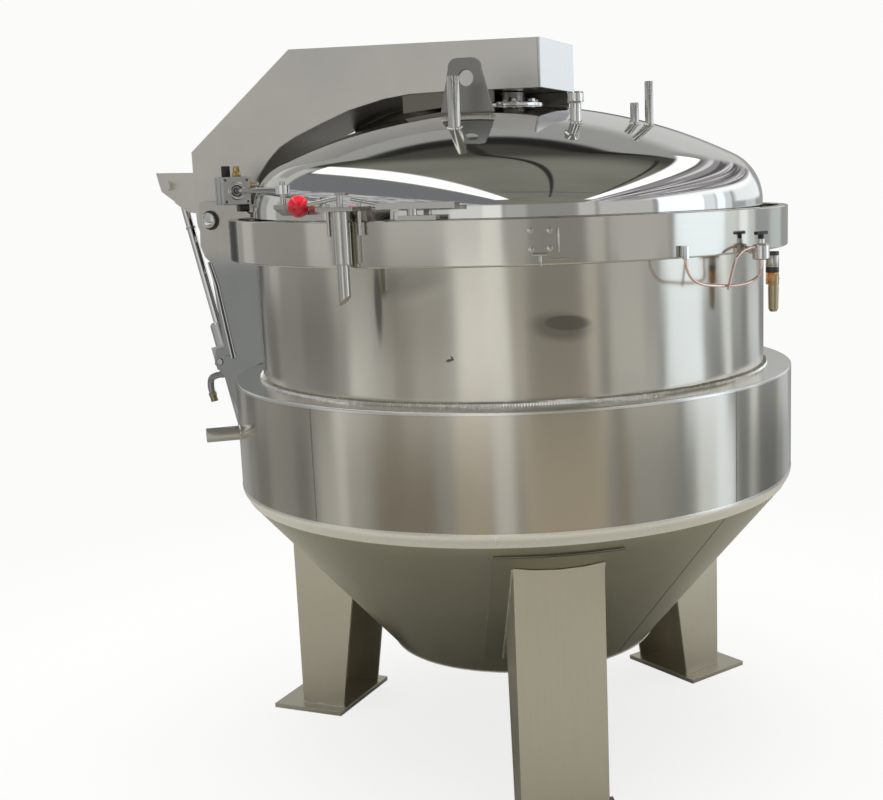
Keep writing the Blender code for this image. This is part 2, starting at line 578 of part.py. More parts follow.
# lifting lug: a plate that stands on the crown, square to the radius at azimuth -84
lx, ly, lz = pol(-84.0, 0.2920, 0.0)
lzb = dome_z(0.2920 + 0.012) - 0.0
zb = dome_z(math.hypot(0.298, 0.072)) + 0.0010
lug_pts = ([(-0.060, 1.5290), (-0.0345, 1.620)] + arc(-0.0145, 1.623, 0.0205, 170, 90, 4) +
           arc(0.0195, 1.623, 0.0205, 90, 10, 4) + [(0.0400, 1.620), (0.060, 1.5290)])
lug_ob = outline_plate("lifting_lug", lug_pts, -0.005, 0.005, "arm_stainless", holes=((0.0, 1.601, 0.0175, 20),))
lug_ob.rotation_euler = (math.pi / 2, 0, math.pi / 2 + math.radians(6.0))
lug_ob.location = (lx, ly, 0)
lug_ob = curve_to_mesh(lug_ob)
dome_cut = turned("lid_dome_cutter", [(0.0, dome_z(0) + 0.0008)] +
                  [(r, dome_z(r) + 0.0008) for r in (0.1, 0.2, 0.25, 0.3, 0.35, 0.4, 0.45, 0.5)] + [(0.5, 1.30), (0.0, 1.30)],
                  None, closed=False, cutter=True, steps=96)
boolean(lug_ob, dome_cut, 'DIFFERENCE')


def lid_tube(name, az, r, ztop, rad, wall=None, matname="brushed_stainless"):
    x, y, _ = pol(az, r, 0)
    z0 = dome_z(r - rad) + 0.0008
    if wall:
        prof = [(rad, ztop), (rad, z0), (rad - wall, z0), (rad - wall, ztop)]
        return turned(name, prof, matname, steps=20, loc=(x, y, 0))
    return cyl(name, (x, y, z0), (x, y, ztop), rad, matname, sides=20)


lid_tube("lid_tube_lug", -84.0, 0.380, 1.5988, 0.0135, wall=0.0025)
lid_tube("lid_tube_tall", -7.7, 0.372, 1.5915, 0.0095, wall=0.002)
lid_tube("lid_tube_short", -16.2, 0.365, 1.5428, 0.0095, wall=0.002)
fx, fy, _ = pol(-42.5, 0.355, 0)
fz = dome_z(0.355 - 0.012) + 0.0008
turned("lid_ferrule", [(0.0, 1.5638), (0.0165, 1.5638), (0.0180, 1.5615), (0.0180, 1.5430), (0.0120, 1.5395),
                       (0.0120, fz), (0.0, fz)], "polished_stainless", closed=False, steps=24, loc=(fx, fy, 0))

# lock post: a bracket on the lid's straight flange that the lock cylinder's rod turns
PA = math.degrees(math.atan2(LOCK_POST[0], -LOCK_POST[1]))
PR = math.hypot(*LOCK_POST)
post = outline_plate("lock_post", [(R_LID + 0.0012, 1.3440), (R_LID + 0.0012, 1.3220), (PR - 0.006, 1.3220), (PR + 0.014, 1.3360),
                                   (PR + 0.014, 1.3440)], -0.016, 0.016, "brushed_stainless")
post.rotation_euler = (math.pi / 2, 0, math.radians(PA - 90.0))
post.location = (0, 0, 0)
post = curve_to_mesh(post)
pin = cyl("lock_post_cutter", (*LOCK_POST, 1.335), (*LOCK_POST, 1.3910), 0.0060, None, sides=16, cutter=True)
boolean(post, pin, 'UNION')

# ---------------------------------------------------------------- lock cylinder on the arm's left plate
lk = Vector((LOCK_POST[0] - LOCK_REAR[0], LOCK_POST[1] - LOCK_REAR[1]))
LOCK_LEN = lk.length
LOCK_AZ = math.atan2(lk.y, lk.x)
LOCKP = bpy.data.objects.new("lock_pivot", None)
COL.objects.link(LOCKP)
LOCKP.parent = ROOT
LOCKP.location = (*LOCK_REAR, LOCK_Z)
LOCKP.rotation_euler = (0, 0, LOCK_AZ)
body = box("lock_cylinder", (0.0360, -0.0330, -0.0330), (0.1500, 0.0330, 0.0330), "aluminium_cylinder", parent=LOCKP)
tail = box("lock_tail_cutter", (-0.0120, -0.0090, -0.0085), (0.0400, 0.0090, 0.0085), None, parent=LOCKP, cutter=True)
tail_hole = cyl("lock_tail_hole_cutter", (0, 0, -0.05), (0, 0, 0.05), 0.0072, None, sides=16, parent=LOCKP, cutter=True)
bore = cyl("lock_bore_cutter", (0.0450, 0, 0), (0.3000, 0, 0), 0.0075, None, sides=20, parent=LOCKP, cutter=True)
boolean(body, tail, 'UNION')
boolean(body, tail_hole, 'DIFFERENCE')
boolean(body, bore, 'DIFFERENCE')
lk_mount = outline_plate("lock_mount_plate", [(0.6960, LOCK_Z - 0.0190), (0.7280, LOCK_Z - 0.0190), (0.7280, LOCK_Z + 0.0190), (0.6960, LOCK_Z + 0.0190)],
                         -0.1530, -ARM_HALF + 0.0030, "arm_stainless")
lk_mount = curve_to_mesh(lk_mount, cutter=True)
mcut = box("lock_mount_cutter", (-0.20, 0.60, LOCK_Z - 0.0100), (-0.1180, 0.80, LOCK_Z + 0.0100), None, cutter=True)
boolean(lk_mount, mcut, 'DIFFERENCE')
lpin = cyl("lock_pin_cutter", (*LOCK_REAR, LOCK_Z - 0.0150), (*LOCK_REAR, LOCK_Z + 0.0150), 0.0060, None, sides=16, cutter=True)
boolean(lk_mount, lpin, 'UNION')
boolean(side_left, lk_mount, 'UNION')
rod = cyl("lock_rod", (0.1400, 0, 0), (LOCK_LEN - 0.0100, 0, 0), 0.0060, "chrome_rod", sides=16, parent=LOCKP)
eyeb = cyl("lock_eye_cutter", (LOCK_LEN, 0, -0.0090), (LOCK_LEN, 0, 0.0090), 0.0145, None, sides=20, parent=LOCKP, cutter=True)
eyeh = cyl("lock_eye_hole_cutter", (LOCK_LEN, 0, -0.0300), (LOCK_LEN, 0, 0.0300), 0.0078, None, sides=16, parent=LOCKP, cutter=True)
boolean(rod, eyeb, 'UNION')
boolean(rod, eyeh, 'DIFFERENCE')

# ---------------------------------------------------------------- small parts on the jacket and ring
az_stub = -140.0
cyl("stub_pipe", pol(az_stub, R_JACKET + 0.0012, 0.8235), pol(az_stub, R_JACKET + 0.076, 0.8235), 0.0165, "brushed_stainless", sides=20)



def local_frame(az, r, z=0.0):
    """Location and turn that lay local +X outwards at an azimuth."""
    return pol(az, r, z), (0, 0, math.radians(az - 90.0))


# safety interlock at the ring: body tube, vent, bracket with two studs, lever with a red knob
IA, IR = -95.9, 0.6840
vent = turned("interlock_body", [(0.0, 1.3300), (0.0185, 1.3300), (0.0185, 1.2279), (0.0120, 1.2270), (0.0120, 1.1400), (0.0, 1.1400)],
              "brushed_stainless", closed=False, steps=24, loc=pol(IA, IR, 0))
vc_loc, vc_rot = local_frame(IA, IR, 1.1400)
vcut = box("interlock_vent_cutter", (-0.05, -0.05, -0.05), (0.05, 0.05, 0.0), None, cutter=True,
           loc=(vc_loc[0], vc_loc[1], 1.1560), rot=(math.radians(40.0), 0, vc_rot[2]))
boolean(vent, vcut, 'DIFFERENCE')
loc0, rot0 = local_frame(IA, 0.0)
br = outline_plate("interlock_bracket", [(0.7060, 1.3385), (0.7060, 1.3305), (0.6600, 1.3305), (0.6560, 1.3100), (0.6400, 1.3100), (0.6400, 1.3385)],
                   -0.0435, 0.0435, "brushed_stainless")
br.rotation_euler = (math.pi / 2, 0, rot0[2])
br.location = (0, 0, 0)
br = curve_to_mesh(br)
for k, (t, z0) in enumerate(((-0.0370, 1.2815), (0.0370, 1.2830))):
    th = math.radians(IA - 90.0)
    px = 0.6730 * math.cos(th) - t * math.sin(th)
    py = 0.6730 * math.sin(th) + t * math.cos(th)
    st = cyl("interlock_stud_cutter_%d" % k, (px, py, z0), (px, py, 1.3450), 0.0042, None, sides=12, cutter=True)
    boolean(br, st, 'UNION')

SH = pol(IA, IR, 0.0)
KNOB = pol(-104.4, 0.6895, 1.3410)
lever = cyl("interlock_lever", (SH[0], SH[1], 1.3390), (SH[0], SH[1], 1.3660), 0.0062, "brushed_stainless", sides=16)
hd_loc, hd_rot = local_frame(IA, IR, 0.0)
head = box("interlock_head_cutter", (-0.0060, -0.0070, 1.3605), (0.0060, 0.0180, 1.3665), None, cutter=True,
           loc=(hd_loc[0], hd_loc[1], 0), rot=hd_rot)
kd = (Vector(KNOB) - Vector((SH[0], SH[1], 1.3565))).normalized()
bar = cyl("interlock_bar_cutter", (SH[0], SH[1], 1.3565), Vector(KNOB) - kd * 0.0222, 0.0042, None, sides=12, cutter=True)
boolean(lever, head, 'UNION')
boolean(lever, bar, 'UNION')
bm = bmesh.new()
bmesh.ops.create_uvsphere(bm, u_segments=20, v_segments=12, radius=0.0217)
knob = bpy.data.objects.new("red_knob", mesh_from_bm("red_knob", bm))
put(smooth(knob, 80), "red_knob")
knob.location = KNOB

# tongue plate on the ring, with its foot and the thin rod that runs to the interlock
TA = -82.9
tl, tr_ = local_frame(TA, 0.0)
tongue = box("interlock_tongue", (0.6360, -0.0800, 1.3320), (0.6680, 0.0800, 1.3440), "brushed_stainless", rot=tr_)
tfoot = box("tongue_foot_cutter", (0.6370, -0.0390, 1.3100), (0.6600, 0.0390, 1.3190), None, cutter=True, rot=tr_)
tb = cyl("tongue_bolt_cutter", pol(-84.0, 0.6500, 1.3150), pol(-84.0, 0.6500, 1.3350), 0.0100, None, sides=16, cutter=True)
rd0 = pol(IA + 0.95, 0.6740, 1.3400)
rodc = cyl("tongue_rod_cutter", (rd0[0], rd0[1] - 0.0070, 1.3530), pol(-89.3, 0.6520, 1.3400), 0.0030, None, sides=10, cutter=True)
boolean(tongue, tb, 'UNION')
boolean(tongue, tfoot, 'UNION')
boolean(tongue, rodc, 'UNION')

# valve group at the front of the ring
VA, VR = -17.9, 0.6900
vb = turned("valve_body", [(0.0, 1.2462), (0.0080, 1.2462), (0.0080, 1.2375), (0.0165, 1.2356), (0.0185, 1.2330), (0.0185, 1.2060),
                      (0.0150, 1.2033), (0.0, 1.2033)], "polished_stainless", closed=False, steps=24, loc=pol(VA, VR, 0))
vn = cyl("valve_nipple_cutter", pol(VA, R_RING + 0.0008, 1.2230), pol(VA, VR - 0.0100, 1.2230), 0.0080, None, sides=16, cutter=True)
boolean(vb, vn, 'UNION')
hl, hr = local_frame(VA, VR, 0.0)
handle = box("valve_handle", (-0.0045, -0.0210, 1.2556), (0.0045, 0.0210, 1.2622), "black_plastic", loc=(hl[0], hl[1], 0), rot=hr, bevel=0.0)
hh = cyl("valve_hub_cutter", pol(VA, VR, 1.2466), pol(VA, VR, 1.2580), 0.0062, None, sides=16, cutter=True)
boolean(handle, hh, 'UNION')
cyl("union_fitting", pol(-36.1, 0.6735, 1.2161), pol(-36.1, 0.6735, 1.2428), 0.0072, "polished_stainless", sides=6)
tube("copper_tube_main", [pol(-36.1, 0.6735, 1.2157), pol(-35.9, 0.6735, 1.1980), pol(-34.8, 0.6730, 1.1780), pol(-32.4, 0.6725, 1.1640),
                          pol(-28.0, 0.6720, 1.1570), pol(-23.0, 0.6720, 1.1540), pol(-19.6, 0.6760, 1.1580), pol(-18.0, 0.6860, 1.1700),
                          pol(VA, VR, 1.1850), pol(VA, VR, 1.2029)], 0.0032, "copper_tube", res=1, steps=2)
tube("copper_tube_free", [pol(VA - 1.6, VR - 0.0015, 1.2300), pol(VA - 3.0, 0.6880, 1.2300), pol(-23.2, 0.6860, 1.2240), pol(-24.6, 0.6840, 1.2120),
                          pol(-25.2, 0.6820, 1.1960), pol(-25.7, 0.6800, 1.1760), pol(-26.4, 0.6780, 1.1480)], 0.0030, "copper_tube", res=1, steps=2)
RA, RR = -14.2, 0.6960
rv = turned("relief_valve", [(0.0, 1.2165), (0.0100, 1.2165), (0.0115, 1.2140), (0.0115, 1.1740), (0.0095, 1.1720), (0.0120, 1.1690),
                             (0.0120, 1.1480), (0.0110, 1.1470), (0.0115, 1.1400), (0.0105, 1.0960), (0.0070, 1.0901), (0.0, 1.0901)],
            "brass_fitting", closed=False, steps=18, loc=pol(RA, RR, 0))
rn = cyl("relief_nipple_cutter", pol(RA, R_RING + 0.0008, 1.2080), pol(RA, RR - 0.0040, 1.2080), 0.0055, None, sides=12, cutter=True)
boolean(rv, rn, 'UNION')

# ---------------------------------------------------------------- end
bpy.context.view_layer.update()
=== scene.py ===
import json
import math

import bmesh
import bpy
from mathutils import Matrix, Vector, noise

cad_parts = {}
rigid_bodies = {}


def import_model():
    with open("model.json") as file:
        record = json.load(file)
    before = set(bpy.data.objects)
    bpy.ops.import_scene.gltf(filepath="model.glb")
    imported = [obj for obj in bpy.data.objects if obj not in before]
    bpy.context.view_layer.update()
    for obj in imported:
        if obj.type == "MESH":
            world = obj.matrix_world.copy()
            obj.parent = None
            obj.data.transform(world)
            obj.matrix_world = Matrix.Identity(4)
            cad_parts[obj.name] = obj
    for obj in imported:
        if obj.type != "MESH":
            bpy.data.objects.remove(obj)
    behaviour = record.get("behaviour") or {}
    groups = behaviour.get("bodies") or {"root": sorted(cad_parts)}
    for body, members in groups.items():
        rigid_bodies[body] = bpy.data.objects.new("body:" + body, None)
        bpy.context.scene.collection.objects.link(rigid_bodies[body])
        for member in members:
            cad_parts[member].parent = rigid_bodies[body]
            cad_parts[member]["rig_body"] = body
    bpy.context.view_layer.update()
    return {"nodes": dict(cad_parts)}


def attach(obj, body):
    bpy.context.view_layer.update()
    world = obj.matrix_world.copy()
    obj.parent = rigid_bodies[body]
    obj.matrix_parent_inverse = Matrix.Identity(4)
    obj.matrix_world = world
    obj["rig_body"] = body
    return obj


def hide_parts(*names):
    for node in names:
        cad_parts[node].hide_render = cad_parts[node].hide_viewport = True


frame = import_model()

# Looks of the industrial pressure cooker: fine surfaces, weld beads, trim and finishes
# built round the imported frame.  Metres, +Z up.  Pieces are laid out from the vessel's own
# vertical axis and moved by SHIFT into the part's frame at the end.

SCN = bpy.context.scene
SHIFT = Vector((0.0177, -0.1547, 0.0))
PI = math.pi

# ------------------------------------------------------------------ dimensions (as the frame's)
GAP = 0.0003
R_SHELL, T_SHELL, Z_POT_LOW, POT_DEPTH = 0.606, 0.008, 0.700, 0.278
R_RING, Z_RING_TOP, Z_RING_LOW, R_RECESS, Z_SEAT = 0.6622, 1.3096, 1.2174, 0.640, 1.2440
R_JACKET, Z_JACKET_TOP, Z_JACKET_LOW, T_JACKET = 0.6714, 0.9373, 0.6731, 0.008
R_CONE_LOW, Z_CONE_LOW, Z_BOTTOM = 0.325, 0.262, 0.207
R_LID, T_LID, LID_CROWN, LID_KNUCKLE, Z_TAN = 0.604, 0.008, 1.21, 0.12, 1.322
R_RIM, Z_RIM = 0.614, (1.2500, 1.2900)
HINGE = (0.7718, 1.3025)
BR_IN, BR_T = 0.116, 0.012
EAR_PIN, LIFT_LOW = (0.9579, 1.3916), (0.8422, 0.9250)
LOCK_Z, LOCK_REAR, LOCK_POST = 1.3745, (-0.139, 0.712), (-0.606, 0.245)
LEG_AZ = (("rear", 180.0), ("right", 60.0), ("left", -60.0))
LEG_FACE, LEG_HALF = 0.6132, 0.0952
CONE_K = (R_JACKET - R_CONE_LOW) / (Z_JACKET_LOW - Z_CONE_LOW)
_cl = math.hypot(R_JACKET - R_CONE_LOW, Z_JACKET_LOW - Z_CONE_LOW)
CN = ((Z_JACKET_LOW - Z_CONE_LOW) / _cl, -(R_JACKET - R_CONE_LOW) / _cl)
Z_WALL_LOW = Z_JACKET_LOW + 0.014
ZC = Z_TAN - math.sqrt((LID_CROWN - LID_KNUCKLE) ** 2 - (R_LID - LID_KNUCKLE) ** 2)
T0 = math.atan2(R_LID - LID_KNUCKLE, Z_TAN - ZC)


def rad(d):
    return math.radians(d)


def pol(az, r, z):
    a = rad(az)
    return Vector((r * math.sin(a), -r * math.cos(a), z))


def cone_r(z, off=0.0):
    return R_JACKET - (Z_JACKET_LOW - z) * CONE_K + off / CN[0]


def dome_z(r):
    return ZC + math.sqrt(LID_CROWN ** 2 - r * r)


# ------------------------------------------------------------------ camera
def make_camera():
    f, cx, cy, w, h = 1260.93, 561.61, 409.01, 883.0, 800.0
    dist, height, yaw, pitch, roll, turn = 3.0909, 1.3768, 0.03607, 0.17888, -0.02756, rad(-67.09)
    fwd = Vector((math.sin(yaw), math.cos(yaw), 0.0))
    right = Vector((math.cos(yaw), -math.sin(yaw), 0.0))
    zed = Vector((0, 0, 1))
    look = fwd * math.cos(pitch) - zed * math.sin(pitch)
    up2 = fwd * math.sin(pitch) + zed * math.cos(pitch)
    r = right * math.cos(roll) + up2 * math.sin(roll)
    u = right * -math.sin(roll) + up2 * math.cos(roll)
    m = Matrix.Rotation(turn, 3, 'Z')
    r, u, look = m @ r, m @ u, m @ look
    loc = m @ Vector((0.0, -dist, height)) + SHIFT
    cam = bpy.data.objects.new("camera", bpy.data.cameras.new("camera"))
    SCN.collection.objects.link(cam)
    cam.data.sensor_fit = 'HORIZONTAL'
    cam.data.sensor_width = 36.0
    cam.data.lens = f / w * 36.0
    cam.data.shift_x = -(cx - w / 2) / w
    cam.data.shift_y = (cy - h / 2) / w
    cam.data.clip_end = 200.0
    cam.matrix_world = Matrix(((r.x, u.x, -look.x, loc.x), (r.y, u.y, -look.y, loc.y),
                               (r.z, u.z, -look.z, loc.z), (0, 0, 0, 1)))
    SCN.camera = cam


make_camera()


# ------------------------------------------------------------------ node helpers
class G:
    """A small helper that writes shader nodes."""

    def __init__(self, tree):
        self.t = tree
        self.n = tree.nodes
        self.l = tree.links

    def new(self, kind, **kw):
        nd = self.n.new(kind)
        for k, v in kw.items():
            setattr(nd, k, v)
        return nd

    def put(self, sock, val):
        if isinstance(val, bpy.types.NodeSocket):
            self.l.new(val, sock)
        else:
            sock.default_value = val

    def math(self, op, a, b=None, c=None, clamp=False):
        nd = self.new('ShaderNodeMath', operation=op, use_clamp=clamp)
        self.put(nd.inputs[0], a)
        if b is not None:
            self.put(nd.inputs[1], b)
        if c is not None:
            self.put(nd.inputs[2], c)
        return nd.outputs[0]

    def vmath(self, op, a, b=None, scale=None):
        nd = self.new('ShaderNodeVectorMath', operation=op)
        self.put(nd.inputs[0], a)
        if b is not None:
            self.put(nd.inputs[1], b)
        if scale is not None:
            self.put(nd.inputs['Scale'], scale)
        return nd.outputs[0] if op not in ('LENGTH', 'DOT_PRODUCT', 'DISTANCE') else nd.outputs['Value']

    def xyz(self, v):
        nd = self.new('ShaderNodeSeparateXYZ')
        self.put(nd.inputs[0], v)
        return nd.outputs

    def comb(self, x, y, z):
        nd = self.new('ShaderNodeCombineXYZ')
        for i, v in enumerate((x, y, z)):
            self.put(nd.inputs[i], v)
        return nd.outputs[0]

    def noise(self, v, scale, detail=2.0, rough=0.5, dist=0.0):
        nd = self.new('ShaderNodeTexNoise')
        self.put(nd.inputs['Vector'], v)
        nd.inputs['Scale'].default_value = scale
        nd.inputs['Detail'].default_value = detail
        nd.inputs['Roughness'].default_value = rough
        nd.inputs['Distortion'].default_value = dist
        return nd.outputs['Fac']

    def maprange(self, v, a, b, c, d, smooth=True):
        nd = self.new('ShaderNodeMapRange')
        nd.interpolation_type = 'SMOOTHSTEP' if smooth else 'LINEAR'
        nd.clamp = True
        self.put(nd.inputs[0], v)
        for i, q in enumerate((a, b, c, d)):
            self.put(nd.inputs[1 + i], q)
        return nd.outputs[0]

    def mix(self, fac, a, b, mode='MIX'):
        nd = self.new('ShaderNodeMix', data_type='RGBA', blend_type=mode)
        self.put(nd.inputs['Factor'], fac)
        for nm, v in (('A', a), ('B', b)):
            s = [i for i in nd.inputs if i.name == nm and i.type == 'RGBA'][0]
            self.put(s, v if isinstance(v, bpy.types.NodeSocket) else (*v, 1.0)[:4])
        return [o for o in nd.outputs if o.type == 'RGBA'][0]

    def bump(self, height, dist, strength=1.0, normal=None):
        nd = self.new('ShaderNodeBump')
        nd.inputs['Strength'].default_value = strength
        nd.inputs['Distance'].default_value = dist
        self.put(nd.inputs['Height'], height)
        if normal is not None:
            self.put(nd.inputs['Normal'], normal)
        return nd.outputs[0]

    def window(self, v, lo, hi, soft):
        """1 between lo and hi, falling to 0 over soft outside them."""
        a = self.maprange(v, lo - soft, lo, 0.0, 1.0)
        b = self.maprange(v, hi, hi + soft, 1.0, 0.0)
        return self.math('MULTIPLY', a, b)


MATS = {}


def base_material(name):
    m = bpy.data.materials.new(name)
    m.use_nodes = True
    g = G(m.node_tree)
    g.n.clear()
    out = g.new('ShaderNodeOutputMaterial')
    b = g.new('ShaderNodeBsdfPrincipled')
    g.l.new(b.outputs[0], out.inputs[0])
    MATS[name] = m
    return m, g, b


def mul(c, k):
    return tuple(min(x * k, 1.0) for x in c)


def metal(name, base, rough, aniso=0.0, arot=0.25, tangent=None, grain='turned', sign=1.0, lines=700.0,
          line_bump=0.00004, line_col=0.05, mott=0.10, mott_scale=5.0, rvar=0.05, wave=0.0, wave_scale=2.5,
          pits=0.0, painted_shade_low=None, extra=None):
    """A brushed or polished metal.  grain says how the fine lines run: turned round the
    vessel, or along x, y or z; wave bends the surface a little, as thin plate does."""
    m, g, b = base_material(name)
    tc = g.new('ShaderNodeTexCoord')
    p = g.vmath('SUBTRACT', tc.outputs['Object'], tuple(SHIFT))
    o = g.xyz(p)
    if grain == 'turned':
        flat = g.comb(o[0], o[1], 0.0)
        r = g.vmath('LENGTH', flat)
        w = g.math('MULTIPLY_ADD', r, sign, o[2])
        gv = g.comb(g.math('MULTIPLY', o[0], 3.0), g.math('MULTIPLY', o[1], 3.0), g.math('MULTIPLY', w, lines))
    else:
        k = {'x': (5.0, lines, lines), 'y': (lines, 5.0, lines), 'z': (lines, lines, 5.0), 'none': (220.0, 220.0, 220.0)}[grain]
        gv = g.vmath('MULTIPLY', p, k)
    n1 = g.noise(gv, 1.0, 3.0, 0.6)
    n2 = g.noise(p, mott_scale, 4.0, 0.55, 0.4)
    n3 = g.noise(p, mott_scale * 9.0, 3.0, 0.6)
    f = g.math('MULTIPLY_ADD', n2, mott * 2.0, 1.0 - mott)
    f = g.math('MULTIPLY', f, g.math('MULTIPLY_ADD', n1, line_col * 2.0, 1.0 - line_col))
    col = g.mix(1.0, base, g.comb(f, f, f), 'MULTIPLY')
    if painted_shade_low:
        # painted shade on the lower part, cooler and darker: (low z, high z, colour multiplier)
        k = g.maprange(o[2], painted_shade_low[0], painted_shade_low[1], 1.0, 0.0)
        col = g.mix(k, col, g.mix(1.0, col, painted_shade_low[2], 'MULTIPLY'))
    rr = g.math('MULTIPLY_ADD', n2, rvar * 2.0, rough - rvar)
    rr = g.math('ADD', rr, g.math('MULTIPLY_ADD', n3, rvar, -rvar * 0.5))
    rr = g.math('ADD', rr, g.math('MULTIPLY_ADD', n1, rvar * 0.8, -rvar * 0.4))
    if extra:
        col, rr = extra(g, o, col, rr)
    g.l.new(col, b.inputs['Base Color'])
    g.l.new(rr, b.inputs['Roughness'])
    b.inputs['Metallic'].default_value = 1.0
    b.inputs['Anisotropic'].default_value = aniso
    b.inputs['Anisotropic Rotation'].default_value = arot
    nrm = None
    if wave:
        wv = g.noise(p, wave_scale, 1.0, 0.4)
        nrm = g.bump(wv, wave)
    if pits:
        nrm = g.bump(n3, pits, 1.0, nrm)
    nrm = g.bump(n1, line_bump, 1.0, nrm)
    g.l.new(nrm, b.inputs['Normal'])
    if tangent:
        tn = g.new('ShaderNodeTangent', direction_type='RADIAL', axis=tangent)
        g.l.new(tn.outputs[0], b.inputs['Tangent'])
    return m


def az_of(g, o):
    """Azimuth in degrees round the vessel, 0 at the front."""
    return g.math('MULTIPLY', g.math('ARCTAN2', o[0], g.math('MULTIPLY', o[1], -1.0)), 180.0 / PI)


def spot(g, az, z, a0, z0, da, dz, soft, tilt=0.0):
    """A soft oval on the wall: 1 inside, 0 outside."""
    u = g.math('DIVIDE', g.math('SUBTRACT', az, a0), da)
    v = g.math('DIVIDE', g.math('SUBTRACT', z, z0), dz)
    if tilt:
        v = g.math('MULTIPLY_ADD', u, tilt, v)
    d = g.math('SQRT', g.math('ADD', g.math('MULTIPLY', u, u), g.math('MULTIPLY', v, v)))
    return g.maprange(d, 1.0 - soft, 1.0 + soft, 1.0, 0.0)


def shell_scuff_and_painted_light(g, o, col, rr):
    """A small real scuff, with painted light: a painted dark reflection oval, a painted reflection running down under
    the interlock and painted shade fanning out under the ring.
    """
    az = az_of(g, o)
    z = o[2]
    # painted reflection: a dark oval with a darker core stands in for a reflection on the wall
    oval = spot(g, az, z, -58.2, 1.0915, 5.3, 0.026, 0.42, 0.22)
    top = spot(g, az, z, -57.2, 1.0985, 4.6, 0.0165, 0.25, 0.16)
    k = g.math('MAXIMUM', g.math('MULTIPLY', oval, 0.42), g.math('MULTIPLY', top, 0.62))
    scuff = g.math('MAXIMUM', spot(g, az, z, -79.6, 1.0305, 0.62, 0.0028, 0.3, -0.4), spot(g, az, z, -79.0, 1.0345, 0.28, 0.0036, 0.3, 0.8))
    k = g.math('MAXIMUM', k, g.math('MULTIPLY', scuff, 0.85))
    # the painted reflection oval and the real scuff both take this dark colour
    col = g.mix(k, col, (0.060, 0.050, 0.046))
    # painted reflection of the interlock running down the wall, and painted shade fanning out under the ring
    run = spot(g, az, z, -93.7, 1.150, 0.80, 0.075, 0.5)
    painted_shade_fan = spot(g, az, z, -86.6, 1.190, 6.5, 0.028, 0.6, -0.5)
    k = g.math('MAXIMUM', g.math('MULTIPLY', run, 0.72), g.math('MULTIPLY', painted_shade_fan, 0.30))
    return g.mix(k, col, (0.070, 0.062, 0.050)), rr


def ring_end_painted_shade(g, o, col, rr):
    """Painted shade on the end of the ring beside the hinge bracket."""
    az = az_of(g, o)
    # painted shade: the ring's end darkened over this span of azimuth
    k = g.window(az, -153.0, -132.0, 0.9)
    return g.mix(g.math('MULTIPLY', k, 0.90), col, (0.050, 0.050, 0.044)), rr


metal("m_shell", (0.615, 0.590, 0.525), 0.15, aniso=0.50, tangent='Z', lines=900.0, mott=0.035, rvar=0.02,
      line_bump=0.000006, line_col=0.03, wave=0.0011, wave_scale=1.9, extra=shell_scuff_and_painted_light)
metal("m_ring", (0.635, 0.617, 0.560), 0.115, aniso=0.50, tangent='Z', lines=800.0, mott=0.03, rvar=0.02,
      line_bump=0.000006, line_col=0.04, wave=0.0005, wave_scale=3.0, extra=ring_end_painted_shade)
metal("m_jacket", (0.61, 0.578, 0.505), 0.15, aniso=0.50, tangent='Z', lines=900.0, mott=0.04, rvar=0.02,
      line_bump=0.000006, line_col=0.03, wave=0.0013, wave_scale=1.7)
metal("m_jacket_top", (0.84, 0.83, 0.79), 0.24, aniso=0.4, tangent='Z', lines=600.0, mott=0.06, rvar=0.03,
      line_bump=0.00001)
# painted highlight: a much lighter copy of the jacket steel for the knuckle band
metal("m_knuckle_painted_highlight", (0.96, 0.95, 0.90), 0.28, aniso=0.3, tangent='Z', lines=600.0, mott=0.05, rvar=0.03,
      line_bump=0.00001)
# painted shade: a darker, more olive copy of the jacket steel for the cone, bottom dish and leg pads underneath
metal("m_cone_painted_shade", (0.405, 0.39, 0.31), 0.30, aniso=0.5, tangent='Z', lines=420.0, mott=0.16, mott_scale=3.2, rvar=0.05,
      line_bump=0.00001, wave=0.011, wave_scale=2.6)
metal("m_pot", (0.60, 0.59, 0.57), 0.22, aniso=0.6, tangent='Z', lines=520.0, mott=0.05, rvar=0.03,
      line_bump=0.00001)
metal("m_dome", (0.76, 0.755, 0.735), 0.045, aniso=0.0, lines=520.0, sign=-1.0, mott=0.02, mott_scale=7.0,
      rvar=0.012, line_col=0.02, line_bump=0.000004, wave=0.0007, wave_scale=3.4)
metal("m_polished", (0.74, 0.735, 0.72), 0.10, lines=900.0, grain='none', mott=0.05, rvar=0.03, mott_scale=25.0,
      line_bump=0.000004)
metal("m_plain", (0.60, 0.59, 0.56), 0.22, lines=900.0, grain='none', mott=0.06, rvar=0.05, mott_scale=22.0,
      line_bump=0.000008)
metal("m_arm", (0.82, 0.795, 0.745), 0.42, aniso=0.25, arot=0.0, grain='y', lines=520.0, mott=0.13, rvar=0.06,
      mott_scale=3.6, line_bump=0.000012, line_col=0.035)
metal("m_lug", (0.30, 0.295, 0.28), 0.34, grain='z', lines=420.0, mott=0.10, rvar=0.05, line_bump=0.000012)
# painted shade: a darker copy of the arm steel for the arm's underside plate and the lips under it
metal("m_arm_painted_shade", (0.24, 0.225, 0.19), 0.36, grain='y', lines=380.0, mott=0.14, rvar=0.07, line_bump=0.00004)
metal("m_end", (0.80, 0.82, 0.83), 0.30, grain='x', lines=420.0, mott=0.05, rvar=0.05, mott_scale=14.0, line_bump=0.00001)
